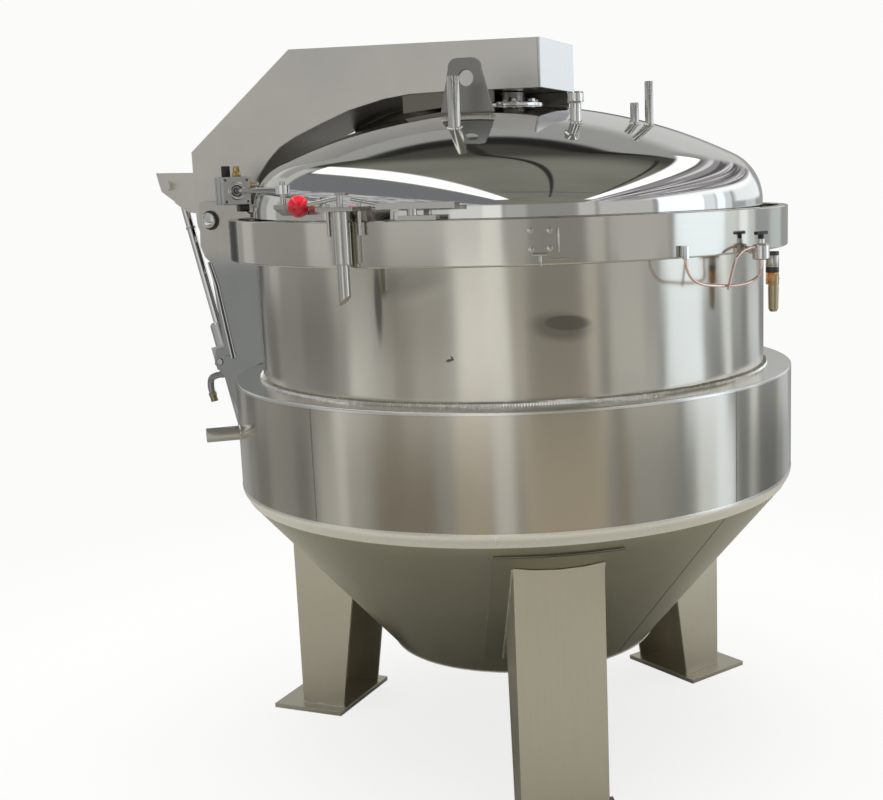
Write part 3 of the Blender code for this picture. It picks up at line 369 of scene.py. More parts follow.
# painted shade: the bracket's lower face is darkened and cooled below z 1.16
metal("m_bracket", (0.70, 0.68, 0.63), 0.34, grain='z', lines=420.0, mott=0.10, rvar=0.05, mott_scale=6.0,
      line_bump=0.00001, painted_shade_low=(1.16, 1.24, (0.62, 0.66, 0.72)))
metal("m_leg", (0.66, 0.625, 0.53), 0.38, grain='z', lines=420.0, mott=0.07, rvar=0.05, mott_scale=4.0,
      line_bump=0.00001)
metal("m_weld", (0.80, 0.78, 0.73), 0.24, grain='none', mott=0.22, rvar=0.09, mott_scale=40.0, line_bump=0.00006)
metal("m_weld_dark", (0.40, 0.38, 0.35), 0.36, grain='none', mott=0.25, rvar=0.09, mott_scale=40.0, line_bump=0.00008)
metal("m_seam", (0.34, 0.325, 0.30), 0.40, grain='none', mott=0.25, rvar=0.09, mott_scale=30.0)
metal("m_alu", (0.66, 0.67, 0.675), 0.36, grain='none', mott=0.08, rvar=0.06, mott_scale=30.0, pits=0.00004)
metal("m_chrome", (0.82, 0.82, 0.82), 0.085, grain='none', mott=0.04, rvar=0.03, mott_scale=40.0, line_bump=0.00001)
metal("m_bolt", (0.62, 0.61, 0.59), 0.22, grain='none', mott=0.12, rvar=0.06, mott_scale=60.0, line_bump=0.00003)
metal("m_rod_dark", (0.34, 0.335, 0.33), 0.17, grain='none', mott=0.08, rvar=0.04, mott_scale=40.0, line_bump=0.00001)
metal("m_olive", (0.36, 0.32, 0.20), 0.34, grain='none', mott=0.14, rvar=0.07, mott_scale=40.0, line_bump=0.00003)
# painted highlight: a light steel for the rounded fold edges of the hinge brackets
metal("m_painted_edge_highlight", (0.86, 0.87, 0.88), 0.34, grain='none', mott=0.05, rvar=0.05, mott_scale=20.0, line_bump=0.00001)
metal("m_dark", (0.10, 0.095, 0.09), 0.42, grain='none', mott=0.25, rvar=0.1, mott_scale=40.0, line_bump=0.00004)
metal("m_copper", (0.92, 0.70, 0.62), 0.20, grain='none', mott=0.12, rvar=0.06, mott_scale=30.0, line_bump=0.00002)
metal("m_brass", (0.66, 0.47, 0.20), 0.27, grain='none', mott=0.15, rvar=0.07, mott_scale=40.0, line_bump=0.00003)
metal("m_orange_brass", (0.66, 0.32, 0.11), 0.27, grain='none', mott=0.15, rvar=0.07, mott_scale=40.0, line_bump=0.00003)
metal("m_bowl", (0.47, 0.41, 0.27), 0.30, grain='none', mott=0.12, rvar=0.07, mott_scale=40.0, line_bump=0.00003)


def plastic(name, base, rough, coat=0.0, grain=0.00003, mott=0.08, scale=60.0, spec=0.5):
    m, g, b = base_material(name)
    tc = g.new('ShaderNodeTexCoord')
    p = tc.outputs['Object']
    n2 = g.noise(p, scale * 0.3, 3.0, 0.6)
    n1 = g.noise(p, scale * 12.0, 2.0, 0.6)
    f = g.math('MULTIPLY_ADD', n2, mott * 2.0, 1.0 - mott)
    g.l.new(g.mix(1.0, base, g.comb(f, f, f), 'MULTIPLY'), b.inputs['Base Color'])
    g.l.new(g.math('MULTIPLY_ADD', n2, rough * 0.5, rough * 0.75), b.inputs['Roughness'])
    g.l.new(g.bump(n1, grain), b.inputs['Normal'])
    b.inputs['Coat Weight'].default_value = coat
    b.inputs['Coat Roughness'].default_value = 0.04
    b.inputs['Specular IOR Level'].default_value = spec
    return m


plastic("m_red", (0.66, 0.004, 0.022), 0.16, coat=0.6, grain=0.00001, mott=0.05, scale=30.0)
plastic("m_black", (0.016, 0.016, 0.018), 0.38, grain=0.00005)
plastic("m_gasket", (0.075, 0.07, 0.066), 0.55, grain=0.00008, mott=0.15)
plastic("m_white_tube", (0.62, 0.61, 0.58), 0.32, grain=0.00001, mott=0.06)


# ------------------------------------------------------------------ mesh helpers
def obj(name, verts, faces, m=None):
    me = bpy.data.meshes.new(name)
    me.from_pydata([tuple(v) for v in verts], [], faces)
    bm = bmesh.new()
    bm.from_mesh(me)
    bmesh.ops.recalc_face_normals(bm, faces=bm.faces)
    bm.to_mesh(me)
    bm.free()
    if m is not None:
        me.transform(m)
    ob = bpy.data.objects.new(name, me)
    SCN.collection.objects.link(ob)
    return ob


def rounded(pts, r, seg=3, closed=True):
    """The outline with its corners rounded to r (a number, or one per corner)."""
    out = []
    n = len(pts)
    for i, p in enumerate(pts):
        R = r[i] if isinstance(r, (list, tuple)) else r
        if R <= 0 or (not closed and i in (0, n - 1)):
            out.append(tuple(p))
            continue
        b = Vector(p)
        u = Vector(pts[i - 1]) - b
        v = Vector(pts[(i + 1) % n]) - b
        la, lc = u.length, v.length
        u.normalize()
        v.normalize()
        ang = u.angle(v)
        if ang > rad(172):
            out.append(tuple(p))
            continue
        t = min(R / math.tan(ang / 2), la * 0.46, lc * 0.46)
        q = t * math.tan(ang / 2)
        c = b + (u + v).normalized() * (q / math.sin(ang / 2))
        p0, p1 = b + u * t - c, b + v * t - c
        a0, a1 = math.atan2(p0.y, p0.x), math.atan2(p1.y, p1.x)
        d = (a1 - a0 + PI) % (2 * PI) - PI
        for k in range(seg + 1):
            a = a0 + d * k / seg
            out.append((c.x + q * math.cos(a), c.y + q * math.sin(a)))
    return out


def lathe(name, prof, n=96, closed=True, m=None, fn=None):
    verts, faces, rings = [], [], []
    for r, z in prof:
        if r < 1e-6:
            rings.append([len(verts)])
            verts.append((0.0, 0.0, z))
        else:
            rings.append(list(range(len(verts), len(verts) + n)))
            for i in range(n):
                a = 2 * PI * i / n
                rr = r + (fn(a, z) if fn else 0.0)
                verts.append((rr * math.sin(a), -rr * math.cos(a), z))
    k = len(prof)
    for j in range(k if closed else k - 1):
        A, B = rings[j], rings[(j + 1) % k]
        if len(A) == 1 and len(B) == 1:
            continue
        for i in range(n):
            i2 = (i + 1) % n
            if len(A) == 1:
                faces.append((A[0], B[i2], B[i]))
            elif len(B) == 1:
                faces.append((A[i], A[i2], B[0]))
            else:
                faces.append((A[i], A[i2], B[i2], B[i]))
    return obj(name, verts, faces, m)


def aim(p0, p1):
    """A matrix that lays local +Z from p0 towards p1."""
    d = Vector(p1) - Vector(p0)
    q = Vector((0, 0, 1)).rotation_difference(d.normalized())
    return Matrix.Translation(Vector(p0)) @ q.to_matrix().to_4x4()


def rod(name, p0, p1, r, n=32, bev=0.0006, inner=0.0, r2=None, m=None):
    L = (Vector(p1) - Vector(p0)).length
    r2 = r if r2 is None else r2
    if inner:
        prof = rounded([(inner, 0.0), (r, 0.0), (r2, L), (inner, L)], bev, 2)
        ob = lathe(name, prof, n, True)
    else:
        prof = rounded([(0.0, 0.0), (r, 0.0), (r2, L), (0.0, L)], [0, bev, bev, 0], 2, closed=False)
        ob = lathe(name, prof, n, False)
    ob.data.transform(aim(p0, p1))
    if m is not None:
        ob.data.transform(m)
    return ob


def hexa(name, p0, p1, af, hole=0.0, turn=0.0, m=None):
    """A hexagon nut or head, af across its flats, with chamfered corners."""
    L = (Vector(p1) - Vector(p0)).length
    R = af / math.sqrt(3)
    ob = rod(name, (0, 0, 0), (0, 0, L), R, n=6, bev=0.0)
    me = ob.data
    bm = bmesh.new()
    bm.from_mesh(me)
    bmesh.ops.bevel(bm, geom=[e for e in bm.edges if len(e.link_faces) == 2 and e.calc_face_angle(0.0) > 0.5],
                    offset=min(0.0007, af * 0.06), segments=2, affect='EDGES', profile=0.5)
    bm.to_mesh(me)
    bm.free()
    me.transform(aim(p0, p1) @ Matrix.Rotation(turn, 4, 'Z'))
    if m is not None:
        me.transform(m)
    return ob


def block(name, lo, hi, bev=0.001, m=None, seg=2):
    bm = bmesh.new()
    bmesh.ops.create_cube(bm, size=1.0)
    c = [(lo[i] + hi[i]) / 2 for i in range(3)]
    s = [abs(hi[i] - lo[i]) for i in range(3)]
    bmesh.ops.transform(bm, matrix=Matrix.Translation(c) @ Matrix.Diagonal((*s, 1.0)), verts=bm.verts)
    if bev:
        bmesh.ops.bevel(bm, geom=list(bm.edges), offset=min(bev, min(s) * 0.4), segments=seg, affect='EDGES', profile=0.5)
    me = bpy.data.meshes.new(name)
    bm.to_mesh(me)
    bm.free()
    if m is not None:
        me.transform(m)
    ob = bpy.data.objects.new(name, me)
    SCN.collection.objects.link(ob)
    return ob


def slab(name, outline, t0, t1, bev=0.0008, m=None):
    """A flat plate: outline (a, b) in its own XY, from z t0 to t1."""
    bm = bmesh.new()
    vs = [bm.verts.new((a, b, t0)) for a, b in outline]
    f = bm.faces.new(vs)
    r = bmesh.ops.extrude_face_region(bm, geom=[f])
    bmesh.ops.translate(bm, vec=(0, 0, t1 - t0), verts=[v for v in r['geom'] if isinstance(v, bmesh.types.BMVert)])
    bmesh.ops.recalc_face_normals(bm, faces=bm.faces)
    if bev:
        es = [e for e in bm.edges if len(e.link_faces) == 2 and e.calc_face_angle(0.0) > rad(40)]
        bmesh.ops.bevel(bm, geom=es, offset=bev, segments=2, affect='EDGES', profile=0.5)
    me = bpy.data.meshes.new(name)
    bm.to_mesh(me)
    bm.free()
    if m is not None:
        me.transform(m)
    ob = bpy.data.objects.new(name, me)
    SCN.collection.objects.link(ob)
    return ob


def catmull(pts, k, closed=False):
    P = [Vector(p) for p in pts]
    n = len(P)
    out = []
    rng = n if closed else n - 1
    for i in range(rng):
        a = P[(i - 1) % n] if closed or i > 0 else P[0]
        b, c = P[i], P[(i + 1) % n]
        d = P[(i + 2) % n] if closed or i + 2 < n else P[-1]
        for j in range(k):
            t = j / k
            out.append(0.5 * ((2 * b) + (c - a) * t + (2 * a - 5 * b + 4 * c - d) * t * t + (3 * b - a - 3 * c + d) * t ** 3))
    if not closed:
        out.append(P[-1])
    return out


def sweep(name, path, r, n=12, closed=False, flat=1.0, up=None):
    """A round bar along a path; r is a number or one per point."""
    N = len(path)
    verts, faces = [], []
    t_prev = None
    nrm = None
    rings = []
    for i, p in enumerate(path):
        a = path[(i - 1) % N] if closed or i > 0 else path[i]
        c = path[(i + 1) % N] if closed or i < N - 1 else path[i]
        t = (c - a).normalized()
        if nrm is None:
            ref = Vector(up) if up is not None else (Vector((0, 0, 1)) if abs(t.z) < 0.9 else Vector((1, 0, 0)))
            nrm = (ref - t * ref.dot(t)).normalized()
        else:
            if up is not None:
                ref = Vector(up)
                nrm = (ref - t * ref.dot(t)).normalized()
            else:
                nrm = (nrm - t * nrm.dot(t)).normalized()
        bi = t.cross(nrm)
        rr = r[i] if isinstance(r, (list, tuple)) else r
        ring = []
        for k in range(n):
            q = 2 * PI * k / n
            ring.append(len(verts))
            verts.append(p + nrm * (rr * flat * math.cos(q)) + bi * (rr * math.sin(q)))
        rings.append(ring)
    for i in range(N if closed else N - 1):
        A, B = rings[i], rings[(i + 1) % N]
        for k in range(n):
            k2 = (k + 1) % n
            faces.append((A[k], A[k2], B[k2], B[k]))
    if not closed:
        faces.append(tuple(rings[0]))
        faces.append(tuple(rings[-1]))
    return obj(name, verts, faces)


def resample(pts, step, closed=False):
    P = [Vector(p) for p in pts]
    if closed:
        P = P + [P[0]]
    out = [P[0].copy()]
    left = step
    for a, b in zip(P[:-1], P[1:]):
        L = (b - a).length
        if L < 1e-9:
            continue
        d = (b - a) / L
        s = left
        while s <= L:
            out.append(a + d * s)
            s += step
        left = s - L
    if closed and (out[-1] - P[0]).length < step * 0.5:
        out.pop()
    return out


def bead(name, pts, r, pitch=0.0042, closed=False, flat=0.75, n=6, up=None, seed=0.0, rip=0.16):
    """A weld bead with its ripples, a little uneven along its length."""
    path = resample(pts, pitch / 2.0, closed)
    rr = []
    for i, p in enumerate(path):
        w = noise.noise(p * 14.0 + Vector((seed, 0, 0))) * 0.14 + noise.noise(p * 90.0) * 0.10
        rr.append(r * (1.0 + (rip if i % 2 == 0 else -rip) + w))
    if not closed and len(rr) > 4:
        rr[0] *= 0.4
        rr[-1] *= 0.4
    return sweep(name, path, rr, n=n, closed=closed, flat=flat, up=up)


def merge(name, obs):
    """Join several meshes into one object."""
    bm = bmesh.new()
    for o in obs:
        bm.from_mesh(o.data)
    me = bpy.data.meshes.new(name)
    bm.to_mesh(me)
    bm.free()
    for o in obs:
        bpy.data.objects.remove(o, do_unlink=True)
    ob = bpy.data.objects.new(name, me)
    SCN.collection.objects.link(ob)
    return ob


def applied(ob, weighted=True):
    """The object with its modifiers applied to a fresh mesh."""
    bpy.context.view_layer.update()
    dg = bpy.context.evaluated_depsgraph_get()
    me = bpy.data.meshes.new_from_object(ob.evaluated_get(dg))
    ob.modifiers.clear()
    ob.data = me
    return ob


def place(ob, body, matname, replaces=None, sharp=32.0, shifted=False, weight=False):
    """Shade, colour and hang a piece on its body."""
    me = ob.data
    if not shifted:
        me.transform(Matrix.Translation(SHIFT))
    me.shade_smooth()
    me.set_sharp_from_angle(angle=rad(sharp))
    me.materials.clear()
    me.materials.append(MATS[matname])
    if weight:
        w = ob.modifiers.new("weight", 'WEIGHTED_NORMAL')
        w.keep_sharp = True
        w.weight = 80
        applied(ob)
        ob.data.materials.clear()
        ob.data.materials.append(MATS[matname])
    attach(ob, body)
    if replaces:
        for nd in ([replaces] if isinstance(replaces, str) else replaces):
            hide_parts(nd)
    return ob


def refine(node, matname, width=0.0008, seg=2, sharp=32.0, name=None, ang=28.0):
    """A finer copy of a plate or small piece: clean faces and rounded edges."""
    src = frame["nodes"][node]
    bm = bmesh.new()
    bm.from_mesh(src.data)
    bmesh.ops.remove_doubles(bm, verts=bm.verts, dist=0.00002)
    bmesh.ops.dissolve_limit(bm, angle_limit=rad(0.6), verts=bm.verts, edges=bm.edges)
    verts = [v.co.copy() for v in bm.verts]
    for i, v in enumerate(bm.verts):
        v.index = i
    faces = [[v.index for v in f.verts] for f in bm.faces]
    bm.free()
    ob = obj(name or node + "_fine", verts, faces)
    if width:
        b = ob.modifiers.new("edge", 'BEVEL')
        b.width = width
        b.segments = seg
        b.limit_method = 'ANGLE'
        b.angle_limit = rad(ang)
        b.use_clamp_overlap = True
        applied(ob)
    body = frame["nodes"][node]["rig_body"]
    return place(ob, body, matname, replaces=node, sharp=sharp, shifted=True, weight=True)


def circle(r, z, n=360):
    return [pol(360.0 * i / n, r, z) for i in range(n)]


# ------------------------------------------------------------------ pot, ring and jacket
BIG = 288


def wob(amp, k, ph=0.0):
    """Slight out-of-round of rolled plate."""
    def fn(a, z):
        return amp * (math.sin(k * a + ph + z * 3.0) * 0.6 + noise.noise(Vector((math.cos(a) * 2.2, math.sin(a) * 2.2, z * 3.0 + ph))) * 0.8)
    return fn


def subdiv(prof, i, k):
    """The profile with the run after corner i cut into k steps."""
    a, b = prof[i], prof[(i + 1) % len(prof)]
    mid = [(a[0] + (b[0] - a[0]) * j / k, a[1] + (b[1] - a[1]) * j / k) for j in range(1, k)]
    return prof[:i + 1] + mid + prof[i + 1:]


pw = [(R_SHELL, Z_SEAT - GAP), (R_SHELL, Z_POT_LOW + GAP), (R_SHELL - T_SHELL, Z_POT_LOW + GAP), (R_SHELL - T_SHELL, Z_SEAT - GAP)]
place(lathe("pot_wall_fine", rounded(pw, [0.001, 0, 0, 0.001], 2), BIG), "vessel", "m_shell", "pot_wall", weight=True)

ro = R_SHELL
ri = R_SHELL - T_SHELL
K = 22
inner = [(ri * math.cos(rad(t)), Z_POT_LOW - (POT_DEPTH - T_SHELL) * math.sin(rad(t))) for t in [90 - 90 * i / K for i in range(K + 1)]]
outer = [(ro * math.cos(rad(t)), Z_POT_LOW - POT_DEPTH * math.sin(rad(t))) for t in [90 * i / K for i in range(K + 1)]]
inner[0] = (0.0, inner[0][1])
outer[-1] = (0.0, outer[-1][1])
place(lathe("pot_bottom_fine", inner + outer, 144, False), "vessel", "m_pot", "pot_bottom")
place(bead("pot_bottom_weld", circle(ri + 0.0004, Z_POT_LOW), 0.0026, 0.006, closed=True, flat=1.0, up=(0, 0, 1)), "vessel", "m_weld")

ringp = [(R_RING, Z_RING_TOP), (R_RING, Z_RING_LOW), (R_SHELL + GAP, Z_RING_LOW), (R_SHELL + GAP, Z_SEAT), (R_RECESS, Z_SEAT), (R_RECESS, Z_RING_TOP)]
place(lathe("clamp_ring_fine", rounded(ringp, [0.0028, 0.0042, 0.0, 0.0, 0.002, 0.0018], 4), BIG), "vessel", "m_ring", ["clamp_ring", "ring_seat"], weight=True)
place(bead("ring_low_weld", circle(R_SHELL + 0.0006, Z_RING_LOW - 0.0004), 0.0034, 0.005, closed=True, up=(0, 0, 1)), "vessel", "m_weld")
gk = rounded([(0.5945, Z_SEAT + 0.0002), (0.5945, Z_RIM[0] - 0.0003), (0.6120, Z_RIM[0] - 0.0003), (0.6120, Z_SEAT + 0.0002)], 0.0018, 3)
place(lathe("rim_gasket", gk, 192), "vessel", "m_gasket")

jw = [(R_JACKET, Z_JACKET_TOP - T_JACKET - GAP), (R_JACKET, Z_WALL_LOW + GAP), (R_JACKET - T_JACKET, Z_WALL_LOW + GAP),
      (R_JACKET - T_JACKET, Z_JACKET_TOP - T_JACKET - GAP)]
place(lathe("jacket_wall_fine", jw, BIG), "vessel", "m_jacket", "jacket_wall")
jt = [(R_JACKET, Z_JACKET_TOP), (R_JACKET, Z_JACKET_TOP - T_JACKET), (R_SHELL + GAP, Z_JACKET_TOP - T_JACKET), (R_SHELL + GAP, Z_JACKET_TOP)]
place(lathe("jacket_top_fine", rounded(jt, [0.0055, 0, 0, 0], 5), BIG), "vessel", "m_jacket_top", "jacket_top", weight=True)
place(bead("shell_weld", circle(R_SHELL + 0.0014, Z_JACKET_TOP + 0.0014), 0.0070, 0.0060, closed=True, flat=0.9, up=(0, 0, 1), n=7),
      "vessel", "m_weld")

kn = [(R_JACKET, Z_WALL_LOW)] + [(R_JACKET - 0.0062 * (i / 6) ** 2, Z_WALL_LOW - 0.0165 * i / 6) for i in range(1, 7)]
zk = Z_JACKET_LOW - 0.0155
coneo = kn + [(cone_r(zk), zk)]
coneo += [(cone_r(zk + (Z_CONE_LOW - zk) * i / 14), zk + (Z_CONE_LOW - zk) * i / 14) for i in range(1, 15)]
conei = [(cone_r(Z_CONE_LOW, -T_JACKET), Z_CONE_LOW), (cone_r(zk + 0.008, -T_JACKET), zk + 0.008), (R_JACKET - T_JACKET, Z_WALL_LOW)]
place(lathe("jacket_cone_fine", coneo + conei, BIG), "vessel", "m_cone_painted_shade", "jacket_cone", sharp=20)
# painted highlight: a narrow band of much lighter steel laid over the knuckle
kb = [(R_JACKET + 0.0004, Z_WALL_LOW + 0.0030)] + [(r + 0.0004, z) for r, z in kn] + [(cone_r(zk, 0.0004), zk)]
kb += [(r - 0.001, z) for r, z in reversed(kb)]
place(lathe("jacket_knuckle_painted_highlight", kb, BIG), "vessel", "m_knuckle_painted_highlight", sharp=40)
for k, z in enumerate((Z_WALL_LOW + 0.0030,)):
    place(bead("jacket_low_weld_%d" % k, circle(R_JACKET - 0.0002, z), 0.0011, 0.006, closed=True, up=(0, 0, 1), rip=0.06), "vessel", "m_jacket_top")

sag = Z_CONE_LOW - GAP - Z_BOTTOM
rb = cone_r(Z_CONE_LOW)
RC = (rb * rb + sag * sag) / (2 * sag)
tt = math.asin(rb / RC)
dish = [(RC * math.sin(tt * (1 - i / 16)), Z_BOTTOM + RC - RC * math.cos(tt * (1 - i / 16))) for i in range(17)]
dish = [p for p in dish if p[0] > 0.0235]
dish_in = [(max(r - 0.010, 0.014), z + T_JACKET) for r, z in dish]
dish_in[0] = (rb - 0.011, Z_CONE_LOW - GAP)
zl = Z_BOTTOM - 0.045
stub = [(0.0225, Z_BOTTOM + 0.0012), (0.0205, Z_BOTTOM - 0.0022), (0.0205, zl + 0.0008), (0.0197, zl), (0.0170, zl), (0.0162, zl + 0.0008), (0.0162, Z_BOTTOM + 0.002)]
place(lathe("bottom_dish_fine", list(reversed(dish_in)) + dish + stub, 144), "vessel", "m_cone_painted_shade", "bottom_dish", sharp=24)
place(bead("bottom_dish_weld", circle(rb + 0.0002, Z_CONE_LOW, 240), 0.0030, 0.0055, closed=True, up=(0, 0, 1)), "vessel", "m_weld")

# vertical seams in the jacket wall, ground nearly flush, and the seam down the cone
seams = []
for az in (-106.45, -23.4, 97.0):
    pts = [pol(az, R_JACKET + 0.0001, z) for z in (Z_WALL_LOW + 0.004, 0.80, Z_JACKET_TOP - 0.006)]
    seams.append(bead("seam", pts, 0.0014, 0.004, flat=0.5, rip=0.05, up=pol(az, 1, 0)))
place(merge("jacket_seams", seams), "vessel", "m_seam")
seams = []
for az in (-25.2, 155.0):
    pts = [pol(az, cone_r(z, 0.0001), z) for z in (0.655, 0.5, 0.35, 0.270)]
    seams.append(bead("seam", pts, 0.0015, 0.004, flat=0.55, rip=0.05, up=pol(az, 1, 0)))
place(merge("cone_seams", seams), "vessel", "m_seam")

# ------------------------------------------------------------------ legs, pads and their welds
PAD_T = 0.005
for nm, azd in LEG_AZ:
    refine("leg_" + nm, "m_leg", 0.0016)
    # pad plate on the cone
    z1, z0, half = 0.630, 0.310, 0.137
    M, NZ = 24, 12
    verts, faces = [], []
    rows = []
    for off in (PAD_T, 0.0):
        grid = []
        for j in range(NZ + 1):
            z = z1 + (z0 - z1) * j / NZ
            r = cone_r(z, off)
            aw = math.asin(min(half / r, 0.98))
            grid.append([])
            for i in range(M + 1):
                a = azd + math.degrees(aw) * (2 * i / M - 1)
                grid[-1].append(len(verts))
                verts.append(pol(a, r, z))
        rows.append(grid)
    for q, grid in enumerate(rows):
        for j in range(NZ):
            for i in range(M):
                faces.append((grid[j][i], grid[j][i + 1], grid[j + 1][i + 1], grid[j + 1][i]))
    A, B = rows
    for i in range(M):
        faces.append((A[0][i], B[0][i], B[0][i + 1], A[0][i + 1]))
        faces.append((A[NZ][i], A[NZ][i + 1], B[NZ][i + 1], B[NZ][i]))
    for j in range(NZ):
        faces.append((A[j][0], A[j + 1][0], B[j + 1][0], B[j][0]))
        faces.append((A[j][M], B[j][M], B[j + 1][M], A[j + 1][M]))
    place(obj("leg_pad_" + nm, verts, faces), "vessel", "m_cone_painted_shade", sharp=30)
    edge = []
    for i in range(M + 1):
        edge.append(verts[B[0][i]] + Vector((0, 0, 0.0005)))
    for j in range(1, NZ + 1):
        edge.append(verts[B[j][M]])
    for i in range(M - 1, -1, -1):
        edge.append(verts[B[NZ][i]])
    for j in range(NZ - 1, 0, -1):
        edge.append(verts[B[j][0]])
    place(bead("leg_pad_weld_" + nm, edge, 0.0022, 0.0052, closed=True, flat=0.8), "vessel", "m_weld_dark")
    # leg flange to pad, both sides, and the foot
    R = Matrix.Rotation(rad(azd - 90.0), 4, 'Z')
    parts = []
    for s in (-1, 1):
        path = []
        for i in range(13):
            z = 0.600 - (0.600 - 0.315) * i / 12
            rr = cone_r(z, PAD_T + 0.001)
            y = s * (LEG_HALF + 0.0006)
            x = math.sqrt(max(rr * rr - y * y, 0.0))
            if x < 0.4 - 0.144 * 0.0 and z < 0.0:
                continue
            path.append(R @ Vector((x, y, z)))
        parts.append(bead("w", path, 0.0030, 0.005))
        parts.append(bead("w", [R @ Vector((x, s * (LEG_HALF + 0.0008), 0.0125)) for x in (0.4925, 0.55, 0.6125)], 0.0034, 0.005, up=(0, 0, 1)))
    parts.append(bead("w", [R @ Vector((LEG_FACE + 0.0008, y, 0.0125)) for y in (-0.0945, 0.0, 0.0945)], 0.0034, 0.005, up=(0, 0, 1)))
    place(merge("leg_welds_" + nm, parts), "vessel", "m_weld")

# ------------------------------------------------------------------ hinge brackets, pin, column
for nm in ("left", "right"):
    refine("hinge_bracket_" + nm, "m_bracket", 0.0014)
refine("hinge_column", "m_bracket", 0.0010)
pin = []
core = rounded([(0.0, 0.1395), (0.0150, 0.1395), (0.0150, -0.1395), (0.0, -0.1395)], [0, 0.0012, 0.0012, 0], 3, closed=False)
pin.append(lathe("p", core, 40, False))
for s in (-1, 1):
    x0 = BR_IN + BR_T + GAP
    w = rounded([(0.0152, x0), (0.0190, x0), (0.0190, 0.1405), (0.0152, 0.1405)], 0.0010, 3)
    q = lathe("p", [(r, s * z) for r, z in w], 40)
    pin.append(q)
Mx = Matrix.Translation((0, HINGE[0], HINGE[1])) @ Matrix.Rotation(PI / 2, 4, 'Y')
pin = merge("hinge_pin_fine", pin)
pin.data.transform(Mx)
place(pin, "vessel", "m_chrome", "hinge_pin", sharp=30)
bush = []
for s in (-1, 1):
    x0 = BR_IN + BR_T + 0.0002
    w = rounded([(0.0192, x0), (0.0245, x0), (0.0245, x0 + 0.0022), (0.0192, x0 + 0.0022)], 0.0006, 2)
    q = lathe("b", [(r, s * z) for r, z in w], 48)
    bush.append(q)
bush = merge("hinge_bushings", bush)
bush.data.transform(Mx)
place(bush, "vessel", "m_dark", sharp=30)
# bracket to ring and shell welds
parts = []
for s in (-1, 1):
    for xx in (BR_IN - 0.0004, BR_IN + BR_T + 0.0004):
        r1 = math.sqrt(R_RING ** 2 - xx ** 2) + 0.0006
        parts.append(bead("w", [(s * xx, r1, Z_RING_LOW + 0.002), (s * xx, r1, 1.26), (s * xx, r1, 1.3085)], 0.0028, 0.005))
        r2 = math.sqrt(R_SHELL ** 2 - xx ** 2) + 0.0006
        parts.append(bead("w", [(s * xx, r2, Z_JACKET_TOP + 0.004), (s * xx, r2, 1.08), (s * xx, r2, Z_RING_LOW - 0.003)], 0.0030, 0.005))
place(merge("bracket_welds", parts), "vessel", "m_weld")

# ------------------------------------------------------------------ lid arm
refine("arm_side_left", "m_arm", 0.0008)
refine("arm_side_right", "m_arm", 0.0008)
refine("arm_top_plate", "m_arm", 0.0008)
# the arm's underside plate in the darker steel that paints its shade
refine("arm_bottom_plate", "m_arm_painted_shade", 0.0006)
refine("arm_end_plate", "m_end", 0.0010)

# ------------------------------------------------------------------ lift cylinder
refine("lift_cylinder", "m_alu", 0.0010)
refine("lift_rod", "m_chrome", 0.0005)
ld = Vector((EAR_PIN[0] - LIFT_LOW[0], EAR_PIN[1] - LIFT_LOW[1]))
LIFT_LEN = ld.length
LM = Matrix.Translation((0, *LIFT_LOW)) @ Matrix.Rotation(math.atan2(-ld.x, ld.y), 4, 'X')
el = catmull([(0, 0.0236, -0.034), (0, 0.052, -0.033), (0, 0.0700, -0.038), (0, 0.0785, -0.056), (0, 0.0800, -0.074)], 10)
q = merge("lift_elbow_fine", [sweep("e", el, 0.0088, 24), rod("e", (0, 0.0236, -0.034), (0, 0.0345, -0.034), 0.0096, 32, 0.001)])
q.data.transform(LM)
place(q, "lift_barrel", "m_rod_dark", "lift_elbow")
q = merge("lift_elbow_nut", [rod("e", (0, 0.0800, -0.0742), (0, 0.0800, -0.1000), 0.0096, 32, 0.001),
                             hexa("e", (0, 0.0800, -0.0742), (0, 0.0800, -0.0840), 0.0188)])
q.data.transform(LM)
place(q, "lift_barrel", "m_olive")

# ------------------------------------------------------------------ lid
KN_N, CR_N = 16, 60


def lid_profile(off):
    pts = []
    for i in range(KN_N):
        a = (PI / 2 - T0) * i / KN_N
        pts.append((R_LID - LID_KNUCKLE + (LID_KNUCKLE - off) * math.cos(a), Z_TAN + (LID_KNUCKLE - off) * math.sin(a)))
    for i in range(CR_N + 1):
        a = T0 * (1 - i / CR_N)
        pts.append(((LID_CROWN - off) * math.sin(a), ZC + (LID_CROWN - off) * math.cos(a)))
    pts[-1] = (0.0, pts[-1][1])
    return pts


top = list(reversed(lid_profile(0.0))) + [(R_LID, Z_RIM[1] + GAP)]
und = [(R_LID - T_LID, Z_RIM[1] + GAP)] + lid_profile(T_LID)
place(lathe("lid_dome_fine", top + und, BIG, False), "lid", "m_dome", "lid_dome", sharp=30)
rim = rounded([(R_RIM, Z_RIM[1]), (R_RIM, Z_RIM[0]), (0.5920, Z_RIM[0]), (0.5920, Z_RIM[1])], 0.0022, 4)
place(lathe("lid_rim_fine", rim, BIG), "lid", "m_ring", "lid_rim", weight=True)
place(bead("lid_rim_weld", circle(R_LID + 0.0006, Z_RIM[1] + 0.0006), 0.0030, 0.0055, closed=True, up=(0, 0, 1)), "lid", "m_weld")
ZA = dome_z(0.0)
hub = [(0.0, 1.5862), (0.046, 1.5862), (0.046, ZA + 0.0055), (0.090, ZA + 0.0055), (0.090, dome_z(0.09) + 0.0012)]
hub = rounded(hub, [0, 0.0015, 0.003, 0.0012, 0], 3, closed=False) + [(0.06, dome_z(0.06) + 0.0012), (0.03, dome_z(0.03) + 0.0012), (0.0, ZA + 0.0012)]
place(lathe("lid_hub_fine", hub, 144, False), "lid", "m_polished", "lid_hub")
bolts = []
